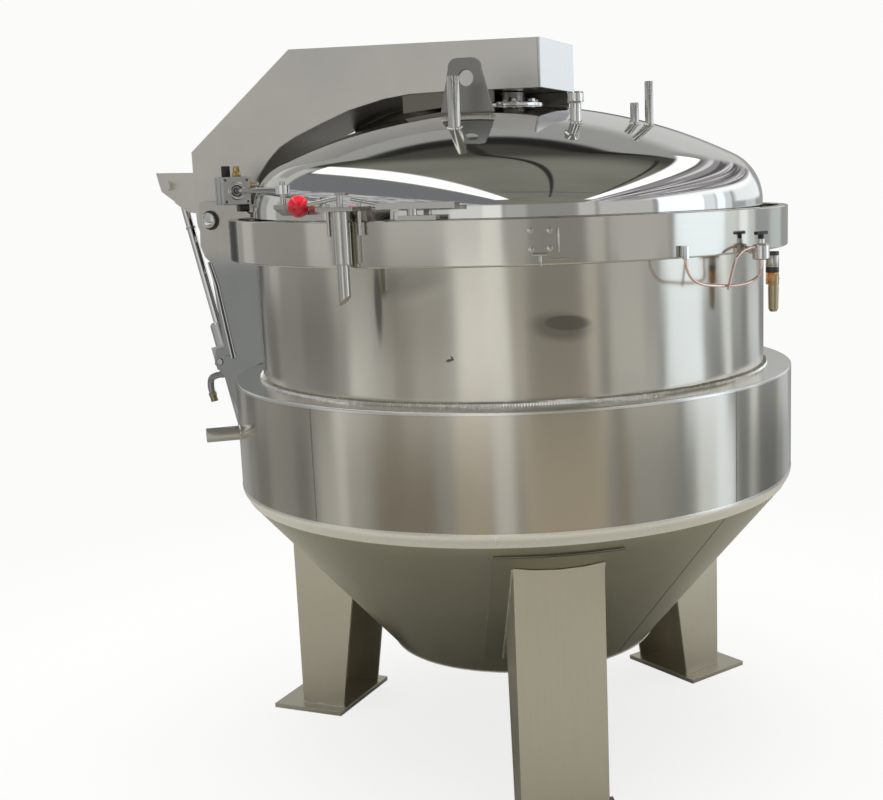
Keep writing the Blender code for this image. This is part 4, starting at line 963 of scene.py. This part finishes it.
for i in range(8):
    p = pol(-10.0 + 45.0 * i, 0.0700, ZA + 0.0057)
    bolts.append(rod("b", p, p + Vector((0, 0, 0.0018)), 0.0115, 24, 0.0004))
    bolts.append(hexa("b", p + Vector((0, 0, 0.0018)), p + Vector((0, 0, 0.0098)), 0.0165, turn=i * 0.7))
place(merge("lid_hub_bolts", bolts), "lid", "m_bolt", sharp=28)

refine("lifting_lug", "m_lug", 0.0012)
lug = []
Lm = Matrix.Translation(pol(-84.0, 0.2920, 0.0)) @ Matrix.Rotation(rad(6.0) + PI / 2, 4, 'Z')
for s in (-1, 1):
    path = []
    for i in range(17):
        y = -0.0605 + 0.121 * i / 16
        p = Lm @ Vector((y, s * 0.0056, 0.0))
        path.append(Vector((p.x, p.y, dome_z(math.hypot(p.x, p.y)) + 0.0014)))
    lug.append(bead("w", path, 0.0040, 0.006, flat=0.9, n=8))
place(merge("lug_welds", lug), "lid", "m_weld")


def lid_tube(name, node, az, r, ztop, radius, wall, matname):
    x, y, _ = pol(az, r, 0)
    z0 = dome_z(r + radius) - 0.001
    prof = rounded([(radius, ztop), (radius, z0), (radius - wall, z0), (radius - wall, ztop)], [0.0006, 0, 0, 0.0005], 2)
    place(lathe(name, prof, 40, m=Matrix.Translation((x, y, 0))), "lid", matname, node)
    ring = []
    for i in range(48):
        a = 2 * PI * i / 48
        px, py = x + (radius + 0.0004) * math.cos(a), y + (radius + 0.0004) * math.sin(a)
        ring.append(Vector((px, py, dome_z(math.hypot(px, py)) + 0.0008)))
    return bead("w", ring, 0.0028, 0.0042, closed=True, n=8)


wl = [lid_tube("lid_tube_lug_fine", "lid_tube_lug", -84.0, 0.380, 1.5988, 0.0135, 0.0025, "m_plain"),
      lid_tube("lid_tube_tall_fine", "lid_tube_tall", -7.7, 0.372, 1.5915, 0.0095, 0.002, "m_plain"),
      lid_tube("lid_tube_short_fine", "lid_tube_short", -16.2, 0.365, 1.5428, 0.0095, 0.002, "m_plain")]
fx, fy, _ = pol(-42.5, 0.355, 0)
fz = dome_z(0.355 + 0.012) - 0.001
fp = [(0.0, 1.5638), (0.0165, 1.5638), (0.0180, 1.5600), (0.0180, 1.5430), (0.0120, 1.5395), (0.0120, fz), (0.0, fz)]
place(lathe("lid_ferrule_fine", rounded(fp, [0, 0.001, 0.001, 0.001, 0.002, 0, 0], 3, closed=False), 48, False, m=Matrix.Translation((fx, fy, 0))),
      "lid", "m_polished", "lid_ferrule")
ring = []
for i in range(48):
    a = 2 * PI * i / 48
    px, py = fx + 0.0126 * math.cos(a), fy + 0.0126 * math.sin(a)
    ring.append(Vector((px, py, dome_z(math.hypot(px, py)) + 0.0008)))
wl.append(bead("w", ring, 0.0028, 0.0042, closed=True, n=8))
place(merge("lid_tube_welds", wl), "lid", "m_weld")
refine("lock_post", "m_plain", 0.0008)

# ------------------------------------------------------------------ lock cylinder
LOCK_AZ = math.atan2(LOCK_POST[1] - LOCK_REAR[1], LOCK_POST[0] - LOCK_REAR[0])
KM = Matrix.Translation((*LOCK_REAR, LOCK_Z)) @ Matrix.Rotation(LOCK_AZ, 4, 'Z')
refine("lock_cylinder", "m_alu", 0.0020)
refine("lock_rod", "m_chrome", 0.0006)

# ------------------------------------------------------------------ ring-side fittings
st = [(0.0165, 0.0), (0.0165, 0.0748), (0.0120, 0.0748), (0.0120, 0.0)]
sp0, sp1 = pol(-140.0, R_JACKET + 0.0006, 0.8235), pol(-140.0, R_JACKET + 0.076, 0.8235)
sq = lathe("stub_pipe_fine", rounded(st, [0, 0.0010, 0.0008, 0], 2), 48)
sq.data.transform(aim(sp0, sp1))
place(sq, "vessel", "m_plain", "stub_pipe")
ring = []
for i in range(64):
    a = 2 * PI * i / 64
    az = -140.0 + math.degrees(0.0172 * math.cos(a) / R_JACKET)
    ring.append(pol(az, R_JACKET + 0.0006, 0.8235 + 0.0172 * math.sin(a)))
place(bead("stub_weld", ring, 0.0026, 0.0045, closed=True, n=8, rip=0.08), "vessel", "m_plain")

refine("interlock_body", "m_plain", 0.0006)
refine("interlock_bracket", "m_plain", 0.0008)
refine("interlock_lever", "m_plain", 0.0006)
refine("interlock_tongue", "m_plain", 0.0010)
KNOB = pol(-104.4, 0.6895, 1.3410)
SHAFT = pol(-95.9, 0.6840, 1.3565)
kd = (Vector(SHAFT) - KNOB).normalized()
kp = [(0.0, -0.0217)] + [(0.0217 * math.cos(rad(t)), 0.0217 * math.sin(rad(t))) for t in range(-84, 73, 6)]
kp += [(0.0064, 0.0212), (0.0060, 0.0226), (0.0, 0.0226)]
place(lathe("red_knob_fine", kp, 64, False, m=aim(KNOB, KNOB + kd)), "release_lever", "m_red", "red_knob", sharp=50)

refine("valve_body", "m_polished", 0.0006)
refine("valve_handle", "m_black", 0.0014)
refine("union_fitting", "m_polished", 0.0006)
VA, VR = -17.9, 0.6900
main = [pol(-36.1, 0.6735, 1.2157), pol(-35.9, 0.6735, 1.1980), pol(-34.8, 0.6730, 1.1780), pol(-32.4, 0.6725, 1.1640),
        pol(-28.0, 0.6720, 1.1570), pol(-23.0, 0.6720, 1.1540), pol(-19.6, 0.6760, 1.1580), pol(-18.0, 0.6860, 1.1700),
        pol(VA, VR, 1.1850), pol(VA, VR, 1.2029)]
place(sweep("copper_tube_main_fine", catmull(main, 10), 0.0032, 16), "vessel", "m_copper", "copper_tube_main", sharp=60)
free = [pol(VA - 1.6, VR - 0.0015, 1.2300), pol(VA - 3.0, 0.6880, 1.2300), pol(-23.2, 0.6860, 1.2240), pol(-24.6, 0.6840, 1.2120),
        pol(-25.2, 0.6820, 1.1960), pol(-25.7, 0.6800, 1.1760), pol(-26.4, 0.6780, 1.1480)]
place(sweep("copper_tube_free_fine", catmull(free, 10), 0.0030, 16), "vessel", "m_copper", "copper_tube_free", sharp=60)
refine("relief_valve", "m_bowl", 0.0004)


# ------------------------------------------------------------------ small trim
def km(*obs):
    for o in obs:
        o.data.transform(KM)
    return list(obs)


LOCK_BODY = frame["nodes"]["lock_cylinder"]["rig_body"]
q = [rod("k", (0.1502, 0, 0), (0.1545, 0, 0), 0.0213, 40, 0.0012, inner=0.0135)]
for a in (-1, 1):
    for b in (-1, 1):
        q.append(rod("k", (0.1502, a * 0.0255, b * 0.0255), (0.1512, a * 0.0255, b * 0.0255), 0.0052, 20, 0.0003, inner=0.0032))
place(merge("lock_cap_rings", km(*q)), LOCK_BODY, "m_polished")
q = [rod("k", (0.1502, 0, 0), (0.1530, 0, 0), 0.0133, 32, 0.0004, inner=0.0108)]
for a in (-1, 1):
    for b in (-1, 1):
        q.append(rod("k", (0.1501, a * 0.0255, b * 0.0255), (0.1505, a * 0.0255, b * 0.0255), 0.0031, 6, 0.0))
for x in (0.0640, 0.1210):
    for lo, hi in (((x, -0.0333, 0.0330), (x + 0.0016, 0.0333, 0.0334)), ((x, -0.0333, -0.0334), (x + 0.0016, 0.0333, -0.0330)),
                   ((x, 0.0330, -0.0333), (x + 0.0016, 0.0334, 0.0333)), ((x, -0.0334, -0.0333), (x + 0.0016, -0.0330, 0.0333))):
        q.append(block("k", lo, hi, 0.0))
for y in (-0.0200, 0.0200):
    q.append(block("k", (0.0670, y - 0.0022, 0.0330), (0.1200, y + 0.0022, 0.0334), 0.0))
    q.append(block("k", (0.0670, 0.0330, y - 0.0022), (0.1200, 0.0334, y + 0.0022), 0.0))
q.append(block("k", (0.0980, 0.0060, -0.0500), (0.1380, 0.0300, -0.0332), 0.002))
place(merge("lock_grooves", km(*q)), LOCK_BODY, "m_dark")
q = [rod("k", (0.0800, -0.0110, 0.0332), (0.0800, -0.0110, 0.0600), 0.0105, 28, 0.002),
     rod("k", (0.0800, -0.0110, 0.0480), (0.0560, -0.0110, 0.0480), 0.0072, 20, 0.001)]
place(merge("lock_fitting_black", km(*q)), LOCK_BODY, "m_black")
q = [hexa("k", (0.1000, 0.0110, 0.0332), (0.1000, 0.0110, 0.0440), 0.0190),
     rod("k", (0.1000, 0.0110, 0.0440), (0.1000, 0.0110, 0.0590), 0.0078, 24, 0.0008),
     hexa("k", (0.1350, 0.0332, 0.0140), (0.1350, 0.0420, 0.0140), 0.0150)]
place(merge("lock_fitting_brass", km(*q)), LOCK_BODY, "m_brass")
q = [rod("k", (0.1350, 0.0420, 0.0140), (0.1350, 0.0560, 0.0140), 0.0066, 24, 0.0008),
     rod("k", (0.1350, 0.0500, 0.0140), (0.1350, 0.0500, -0.0060), 0.0050, 20, 0.0008)]
place(merge("lock_fitting_side", km(*q)), LOCK_BODY, "m_polished")

# blank plate, upright bar and tee on the ring's front
q = [rod("r", pol(a, R_RING + 0.0002, z), pol(a, R_RING + 0.0028, z), 0.0062, 24, 0.0004) for a, z in
     ((-63.9, 1.2857), (-60.7, 1.2846), (-60.7, 1.2504), (-63.8, 1.2494))]
q += [hexa("r", pol(a, R_RING + 0.0028, z), pol(a, R_RING + 0.0074, z), 0.0092) for a, z in
      ((-63.9, 1.2857), (-60.7, 1.2846), (-60.7, 1.2504), (-63.8, 1.2494))]
q.append(rod("r", pol(-59.3, R_RING + 0.0035, 1.2427), pol(-59.3, R_RING + 0.0035, 1.2891), 0.0022, 16))
q.append(sweep("r", [pol(-63.6 + 0.4 * i, R_RING + 0.0040, 1.2392) for i in range(7)], 0.0030, 12))
q.append(rod("r", pol(-62.4, R_RING + 0.0040, 1.2392), pol(-62.4, R_RING + 0.0040, 1.2171), 0.0032, 16))
q.append(sweep("r", [pol(-60.6 + 0.5 * i, R_RING + 0.0020, 1.2300) for i in range(7)], 0.0012, 8))
place(merge("ring_front_bolts", q), "vessel", "m_bolt")
vs, fs = [], []
for off in (0.0003, 0.0020):
    for z in (1.2455, 1.2895):
        for i in range(7):
            vs.append(pol(-64.25 + 3.9 * i / 6, R_RING + off, z))
for i in range(6):
    fs += [(i, i + 1, i + 8, i + 7), (14 + i, 15 + i, 22 + i, 21 + i), (i, i + 1, 15 + i, 14 + i), (7 + i, 8 + i, 22 + i, 21 + i)]
fs += [(0, 7, 21, 14), (6, 13, 27, 20)]
place(obj("ring_blank_plate", vs, fs), "vessel", "m_ring")

# relief valve: cap, knurl, brass hexagon and ball above its bowl
RV = (-14.2, 0.6935)
q = [rod("v", pol(*RV, 1.2100), pol(*RV, 1.2178), 0.0142, 36, 0.0012)]
q += [rod("v", pol(*RV, 1.1735), pol(*RV, 1.1850), 0.0142, 24, 0.0012)]
place(merge("relief_cap", q), "vessel", "m_dark")
q = [rod("v", pol(*RV, 1.1850), pol(*RV, 1.2100), 0.0141, 36, 0.0008)]
place(merge("relief_collar", q), "vessel", "m_plain")
q = [hexa("v", pol(*RV, 1.1480), pol(*RV, 1.1735), 0.0247)]
place(merge("relief_hexagon", q), "vessel", "m_orange_brass")
q = [lathe("v", [(0.0, -0.0053)] + [(0.0053 * math.cos(rad(t)), 0.0053 * math.sin(rad(t))) for t in range(-75, 76, 15)] + [(0.0, 0.0053)],
           24, False, m=Matrix.Translation((-0.1602, -0.6811, 1.1605)))]
place(merge("relief_ball", q), "vessel", "m_chrome")

# lift rod: lock nut and joint under its eye
ROD_BODY = frame["nodes"]["lift_rod"]["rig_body"]
q = [hexa("n", (0, 0, LIFT_LEN - 0.0520), (0, 0, LIFT_LEN - 0.0380), 0.0290), rod("n", (0, 0, LIFT_LEN - 0.1180), (0, 0, LIFT_LEN - 0.1120), 0.0128, 32, 0.0008, inner=0.0110)]
for o in q:
    o.data.transform(LM)
place(merge("lift_rod_nut", q), ROD_BODY, "m_bolt")

# dark plates along the folded rear edge of the hinge brackets: painted shadow behind the fold
YZ = Matrix(((0, 0, 1, 0), (1, 0, 0, 0), (0, 1, 0, 0), (0, 0, 0, 1)))
q = []
for s in (-1, 1):
    a, b = sorted((s * 0.1190, s * 0.1240))
    q.append(slab("f", [(0.7925, 1.1935), (0.7780, 1.1930), (0.7616, 1.1382), (0.7265, 0.9480), (0.7420, 0.9480), (0.7765, 1.1382)], a, b, 0.0004, m=YZ))
place(merge("bracket_folds", q), "vessel", "m_dark")
# rounded fold edges in a much lighter steel: painted highlight along the folds
q = []
for s in (-1, 1):
    q.append(sweep("f", [Vector((s * 0.1290, 0.7800, 1.1935)), Vector((s * 0.1290, 0.7622, 1.1382)), Vector((s * 0.1290, 0.7272, 0.9500))], 0.0017, 10))
    q.append(sweep("f", [Vector((s * 0.1215, 0.7925, 1.1935)), Vector((s * 0.1215, 0.7765, 1.1382)), Vector((s * 0.1215, 0.7420, 0.9490))], 0.0034, 12))
place(merge("bracket_fold_edges", q), "vessel", "m_painted_edge_highlight")

# lips that close the far side of the arm down to the lid, in the darker arm steel that paints their shade
ARM_BODY = frame["nodes"]["arm_side_right"]["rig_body"]
lip = [(0.2235, 1.5845), (0.2697, 1.5795), (0.3647, 1.5578), (0.4383, 1.5320), (0.4700, 1.5200), (0.4700, 1.5120)]
lip += [(y, dome_z(math.hypot(0.1, y)) + 0.0095) for y in (0.4400, 0.4000, 0.3500, 0.3000, 0.2600, 0.2235)]
place(slab("arm_far_lip", lip, 0.0990, 0.1030, 0.0004, m=YZ), ARM_BODY, "m_arm_painted_shade")
place(slab("arm_front_lip", [(-0.1225, 1.5588), (-0.0300, 1.5603), (-0.0300, 1.5570), (-0.1225, dome_z(0.1590) + 0.0065)], 0.0975, 0.1025, 0.0004, m=YZ),
      ARM_BODY, "m_arm_painted_shade")


# ------------------------------------------------------------------ world, lights and floor
# The hall round the cooker as broad cards of light: (azimuth, half width, soft edge,
# value, tint).  Each height of the vessel mirrors its own stretch of the hall.
WARM, COOL, GREY, DAY = (1.0, 0.90, 0.72), (0.90, 0.96, 1.0), (1.0, 1.0, 0.98), (0.86, 0.95, 1.05)
HALL_HIGH = ((127, 9, 5, 0.12, GREY), (154, 4, 3, 0.58, GREY), (-155, 5, 3, 0.62, GREY), (-107, 11, 8, 0.60, GREY),
             (-87, 6, 4, 0.75, GREY), (-75.5, 3.5, 2, 0.92, GREY), (-64, 4, 3, 0.45, GREY), (-48, 10, 3, 0.31, GREY),
             (-31, 3, 2, 0.58, GREY), (-11, 13, 2, 0.57, GREY), (20.5, 13.5, 2, 1.52, DAY), (39, 3, 2, 1.0, COOL),
             (48, 2.5, 3, 1.35, COOL), (54, 2, 2, 0.85, COOL), (65, 5, 4, 0.45, COOL), (79, 5, 5, 0.70, COOL))
HALL_UPPER = ((122, 8, 5, 0.10, GREY), (146, 5, 4, 0.20, GREY), (-168, 12, 4, 0.19, GREY), (-153, 4, 3, 0.34, GREY), (-143, 5, 3, 0.55, GREY),
              (-115, 14, 4, 0.17, WARM), (-83, 8, 6, 1.10, GREY), (-73, 3, 2, 1.0, GREY), (-65, 2, 2, 0.48, WARM),
              (-47, 10, 3, 0.28, WARM), (-30, 2, 2, 0.60, WARM), (-12, 8, 2, 0.62, GREY), (2, 3, 3, 0.40, COOL),
              (21, 9, 4, 1.30, DAY), (41, 4, 3, 0.36, COOL), (51, 2.5, 3, 1.05, COOL), (61, 3, 3, 0.50, COOL), (82, 6, 6, 0.85, COOL))
HALL_MID = ((122, 8, 5, 0.18, GREY), (148, 4, 4, 0.20, GREY), (-167, 12, 5, 0.33, GREY), (-145, 4, 5, 0.95, GREY), (-133, 6, 4, 0.86, GREY),
            (-120, 4, 3, 0.60, GREY), (-106, 8, 4, 0.85, GREY), (-82, 11, 6, 1.10, GREY), (-72, 3, 2, 1.08, GREY), (-65, 2, 3, 0.65, GREY),
            (-47, 8, 4, 0.30, GREY), (-29, 2, 2, 0.62, GREY), (-12, 8, 3, 0.72, GREY), (0, 3.5, 3, 0.78, GREY),
            (21, 11, 3, 1.48, DAY), (42, 4, 2, 0.34, COOL), (53, 2.0, 2, 1.15, COOL), (66, 4, 3, 0.38, COOL), (86, 6, 6, 0.72, COOL))
HALL_LOW = ((130, 6, 8, 0.39, GREY), (158, 5, 4, 0.22, GREY), (170, 4, 3, 0.32, GREY), (-171, 3, 3, 0.21, GREY),
            (-153, 6, 5, 0.52, GREY), (-148, 1.5, 2, 0.66, GREY), (-140, 3, 3, 0.40, GREY), (-117, 12, 4, 0.22, WARM),
            (-87, 5, 5, 0.42, WARM), (-73, 3, 3, 0.62, GREY), (-47, 16, 4, 0.46, WARM), (-20, 2, 3, 0.27, WARM),
            (-10, 6, 4, 0.34, GREY), (8, 2, 3, 0.28, COOL), (22, 4, 5, 0.90, COOL), (33, 5, 2, 1.25, DAY), (46, 2, 3, 0.24, COOL),
            (52, 1.5, 2, 0.55, COOL), (67, 7, 4, 0.20, COOL), (93, 5, 6, 0.50, COOL))


def make_world():
    w = bpy.data.worlds.new("hall")
    SCN.world = w
    w.use_nodes = True
    g = G(w.node_tree)
    g.n.clear()
    out = g.new('ShaderNodeOutputWorld')
    tc = g.new('ShaderNodeTexCoord')
    o = g.xyz(tc.outputs['Generated'])
    az = g.math('MULTIPLY', g.math('ARCTAN2', o[0], g.math('MULTIPLY', o[1], -1.0)), 180.0 / PI)
    el = g.math('MULTIPLY', g.math('ARCSINE', o[2]), 180.0 / PI)
    # the cards' azimuths are laid out as they show round the vessel's width
    dl = g.math('WRAP', g.math('ADD', az, 67.0), 180.0, -180.0)
    az = g.math('MULTIPLY_ADD', g.math('SINE', g.math('MULTIPLY', dl, 0.5335 * PI / 180.0)), 11.9, az)

    def azwin(c, half, soft):
        d = g.math('ABSOLUTE', g.math('WRAP', g.math('SUBTRACT', az, c), 180.0, -180.0))
        return g.maprange(d, half, half + soft, 1.0, 0.0)

    def hall(cards, start):
        col = g.mix(0.0, mul(GREY, start), (0, 0, 0))
        for c, half, soft, v, tint in cards:
            col = g.mix(azwin(c, half, soft), col, tuple(x * v for x in tint))
        return col

    def both(*f):
        r = f[0]
        for x in f[1:]:
            r = g.math('MULTIPLY', r, x)
        return r

    col = g.mix(g.maprange(el, -11.5, -9.5, 0.0, 1.0), hall(HALL_LOW, 0.30), hall(HALL_MID, 0.36))
    col = g.mix(g.maprange(el, -8.4, -6.9, 0.0, 1.0), col, hall(HALL_UPPER, 0.28))
    col = g.mix(g.maprange(el, -5.0, -4.0, 0.0, 1.0), col, hall(HALL_HIGH, 0.37))
    # bright door beyond the arm's end
    col = g.mix(both(azwin(78, 15, 6), g.window(el, 1.5, 26, 2.0)), col, (1.02, 1.06, 1.09))

    # overhead: u and v are places on the ceiling one unit up
    cz = g.math('MAXIMUM', o[2], 0.05)
    u = g.math('DIVIDE', o[0], cz)
    v = g.math('DIVIDE', o[1], cz)

    def along(a, b):
        return g.math('ADD', g.math('MULTIPLY', u, a), g.math('MULTIPLY', v, b))

    n1, t1 = along(-0.55, 0.835), along(0.835, 0.55)
    n2, t2 = along(0.65, -0.76), along(0.76, 0.65)
    drift = g.noise(g.comb(u, v, 0.0), 1.1, 2.0, 0.5)
    fine = g.noise(g.comb(g.math('MULTIPLY', t1, 0.8), g.math('MULTIPLY', n1, 5.0), 0.0), 2.2, 2.0, 0.6)
    near = g.maprange(u, 0.25, 0.84, 1.0, 0.30)
    f = g.math('MULTIPLY', near, g.math('MULTIPLY_ADD', drift, 0.5, 0.75))
    over = g.mix(1.0, (0.225, 0.222, 0.190), g.comb(f, f, f), 'MULTIPLY')
    # the far left of the roof, beyond the left row of lights
    over = g.mix(g.maprange(n1, 0.78, 0.86, 0.0, 1.0), over, (0.20, 0.205, 0.22))
    over = g.mix(both(g.maprange(u, 0.60, 0.74, 0.0, 1.0), g.maprange(n1, 0.50, 0.66, 0.0, 1.0)), over, (0.54, 0.54, 0.52))
    over = g.mix(both(g.maprange(n1, 1.75, 1.9, 0.0, 1.0), g.maprange(fine, 0.42, 0.52, 0.0, 1.0)), over, (0.62, 0.63, 0.63))
    # the right of the roof and the bright front of the hall
    over = g.mix(g.maprange(n2, 1.18, 1.26, 0.0, 1.0), over, (0.34, 0.325, 0.34))
    over = g.mix(g.maprange(n2, 3.3, 3.9, 0.0, 1.0), over, (1.24, 1.27, 1.28))
    ribs = g.noise(g.comb(g.math('MULTIPLY', n2, 2.4), g.math('MULTIPLY', t2, 0.12), 0.0), 2.6, 1.0, 0.5)
    over = g.mix(both(g.window(n2, 1.35, 3.4, 0.1), g.maprange(ribs, 0.54, 0.60, 0.0, 1.0)), over, (0.80, 0.79, 0.81))
    over = g.mix(both(g.window(n2, 1.35, 3.4, 0.1), g.maprange(ribs, 0.40, 0.45, 1.0, 0.0)), over, (0.13, 0.12, 0.13))
    # light wall behind, up to its dark top edge
    wallm = both(g.maprange(u, 0.98, 1.06, 0.0, 1.0), g.maprange(n1, 0.95, 1.15, 1.0, 0.0), g.maprange(v, -0.5, -0.2, 0.0, 1.0))
    wallc = g.mix(g.maprange(u, 1.45, 1.95, 0.0, 1.0), (0.36, 0.36, 0.345), (0.62, 0.625, 0.61))
    over = g.mix(wallm, over, wallc)
    edge = both(g.window(u, 0.92, 1.01, 0.07), g.window(v, 0.05, 0.70, 0.35))
    over = g.mix(g.math('MULTIPLY', edge, 0.85), over, (0.014, 0.014, 0.014))
    # two rows of lights
    over = g.mix(both(g.window(n1, 0.52, 0.74, 0.05), g.window(t1, -2.6, 1.18, 0.04)), over, (1.50, 1.53, 1.53))
    over = g.mix(both(g.window(n2, 0.94, 1.14, 0.05), g.window(t2, -3.5, 0.83, 0.04)), over, (1.50, 1.53, 1.53))
    # cables under the roof
    ca = g.math('ABSOLUTE', g.math('SUBTRACT', v, g.math('MULTIPLY_ADD', u, 0.76, -0.17)))
    over = g.mix(both(g.maprange(ca, 0.014, 0.030, 1.0, 0.0), g.window(u, -1.8, 0.9, 0.05)), over, (0.035, 0.033, 0.030))
    cb = g.math('ABSOLUTE', g.math('SUBTRACT', v, g.math('MULTIPLY_ADD', u, 0.93, -1.06)))
    over = g.mix(both(g.maprange(cb, 0.016, 0.034, 1.0, 0.0), g.window(u, -1.1, 0.75, 0.05)), over, (0.035, 0.033, 0.030))
    cc = g.math('ABSOLUTE', g.math('SUBTRACT', u, g.math('MULTIPLY_ADD', v, -0.27, -1.477)))
    over = g.mix(both(g.maprange(cc, 0.014, 0.030, 1.0, 0.0), g.window(v, -1.8, -0.5, 0.05)), over, (0.06, 0.058, 0.055))
    col = g.mix(g.maprange(el, 8.5, 12.5, 0.0, 1.0), col, over)

    bg = g.new('ShaderNodeBackground')
    g.l.new(col, bg.inputs[0])
    bg.inputs[1].default_value = 1.0
    pale = g.new('ShaderNodeBackground')
    pale.inputs[0].default_value = (0.965, 0.965, 0.96, 1.0)
    lp = g.new('ShaderNodeLightPath')
    mx = g.new('ShaderNodeMixShader')
    g.l.new(lp.outputs['Is Camera Ray'], mx.inputs[0])
    g.l.new(bg.outputs[0], mx.inputs[1])
    g.l.new(pale.outputs[0], mx.inputs[2])
    g.l.new(mx.outputs[0], out.inputs[0])


make_world()


def area(name, loc, target, sx, sy, power, colour=(1, 1, 1), glossy=True, diffuse=True, spread=180.0):
    L = bpy.data.lights.new(name, 'AREA')
    L.shape = 'RECTANGLE'
    L.size = sx
    L.size_y = sy
    L.energy = power
    L.color = colour
    L.spread = rad(spread)
    ob = bpy.data.objects.new(name, L)
    SCN.collection.objects.link(ob)
    ob.location = Vector(loc) + SHIFT
    d = Vector(target) - Vector(loc)
    ob.rotation_euler = d.to_track_quat('-Z', 'Y').to_euler()
    ob.visible_camera = False
    ob.visible_glossy = glossy
    ob.visible_diffuse = diffuse
    return ob


area("soft_top", (0, 0, 6.0), (0, 0, 0), 7.0, 7.0, 620.0, (1.0, 0.995, 0.985), glossy=False)


def make_floor():
    m = bpy.data.materials.new("floor_paint")
    m.use_nodes = True
    g = G(m.node_tree)
    g.n.clear()
    out = g.new('ShaderNodeOutputMaterial')
    tc = g.new('ShaderNodeTexCoord')
    r = g.vmath('LENGTH', tc.outputs['Object'])
    n = g.noise(tc.outputs['Object'], 6.0, 3.0, 0.6)
    c = g.math('MULTIPLY_ADD', n, 0.02, 0.83)
    cam = g.new('ShaderNodeBsdfDiffuse')
    g.l.new(g.comb(c, c, g.math('MULTIPLY', c, 0.99)), cam.inputs[0])
    far = g.new('ShaderNodeEmission')
    far.inputs[0].default_value = (0.965, 0.965, 0.96, 1.0)
    mx = g.new('ShaderNodeMixShader')
    g.l.new(g.maprange(r, 0.9, 2.6, 0.84, 1.0), mx.inputs[0])
    g.l.new(cam.outputs[0], mx.inputs[1])
    g.l.new(far.outputs[0], mx.inputs[2])
    dark = g.new('ShaderNodeBsdfDiffuse')
    dark.inputs[0].default_value = (0.37, 0.36, 0.32, 1.0)
    lp = g.new('ShaderNodeLightPath')
    m2 = g.new('ShaderNodeMixShader')
    g.l.new(lp.outputs['Is Camera Ray'], m2.inputs[0])
    g.l.new(dark.outputs[0], m2.inputs[1])
    g.l.new(mx.outputs[0], m2.inputs[2])
    g.l.new(m2.outputs[0], out.inputs[0])
    n = 96
    for nm, r0, r1 in (("floor_near", 0.0, 2.4), ("floor_far", 2.4, 40.0)):
        verts, faces = [], []
        for rr in (r0, r1):
            if rr == 0.0:
                verts.append((0, 0, 0))
            else:
                verts += [(rr * math.cos(2 * PI * i / n), rr * math.sin(2 * PI * i / n), 0.0) for i in range(n)]
        if r0 == 0.0:
            faces = [(0, 1 + i, 1 + (i + 1) % n) for i in range(n)]
        else:
            faces = [(i, n + i, n + (i + 1) % n, (i + 1) % n) for i in range(n)]
        me = bpy.data.meshes.new(nm)
        me.from_pydata(verts, [], faces)
        me.materials.append(m)
        ob = bpy.data.objects.new(nm, me)
        SCN.collection.objects.link(ob)
        ob.location = (0, 0, -0.0003)
        if nm == "floor_far":
            ob.visible_glossy = False
            ob.visible_diffuse = False


make_floor()

SCN.view_settings.view_transform = 'Standard'
SCN.view_settings.look = 'None'
SCN.view_settings.exposure = 0.0
SCN.view_settings.gamma = 1.0

bpy.context.view_layer.update()
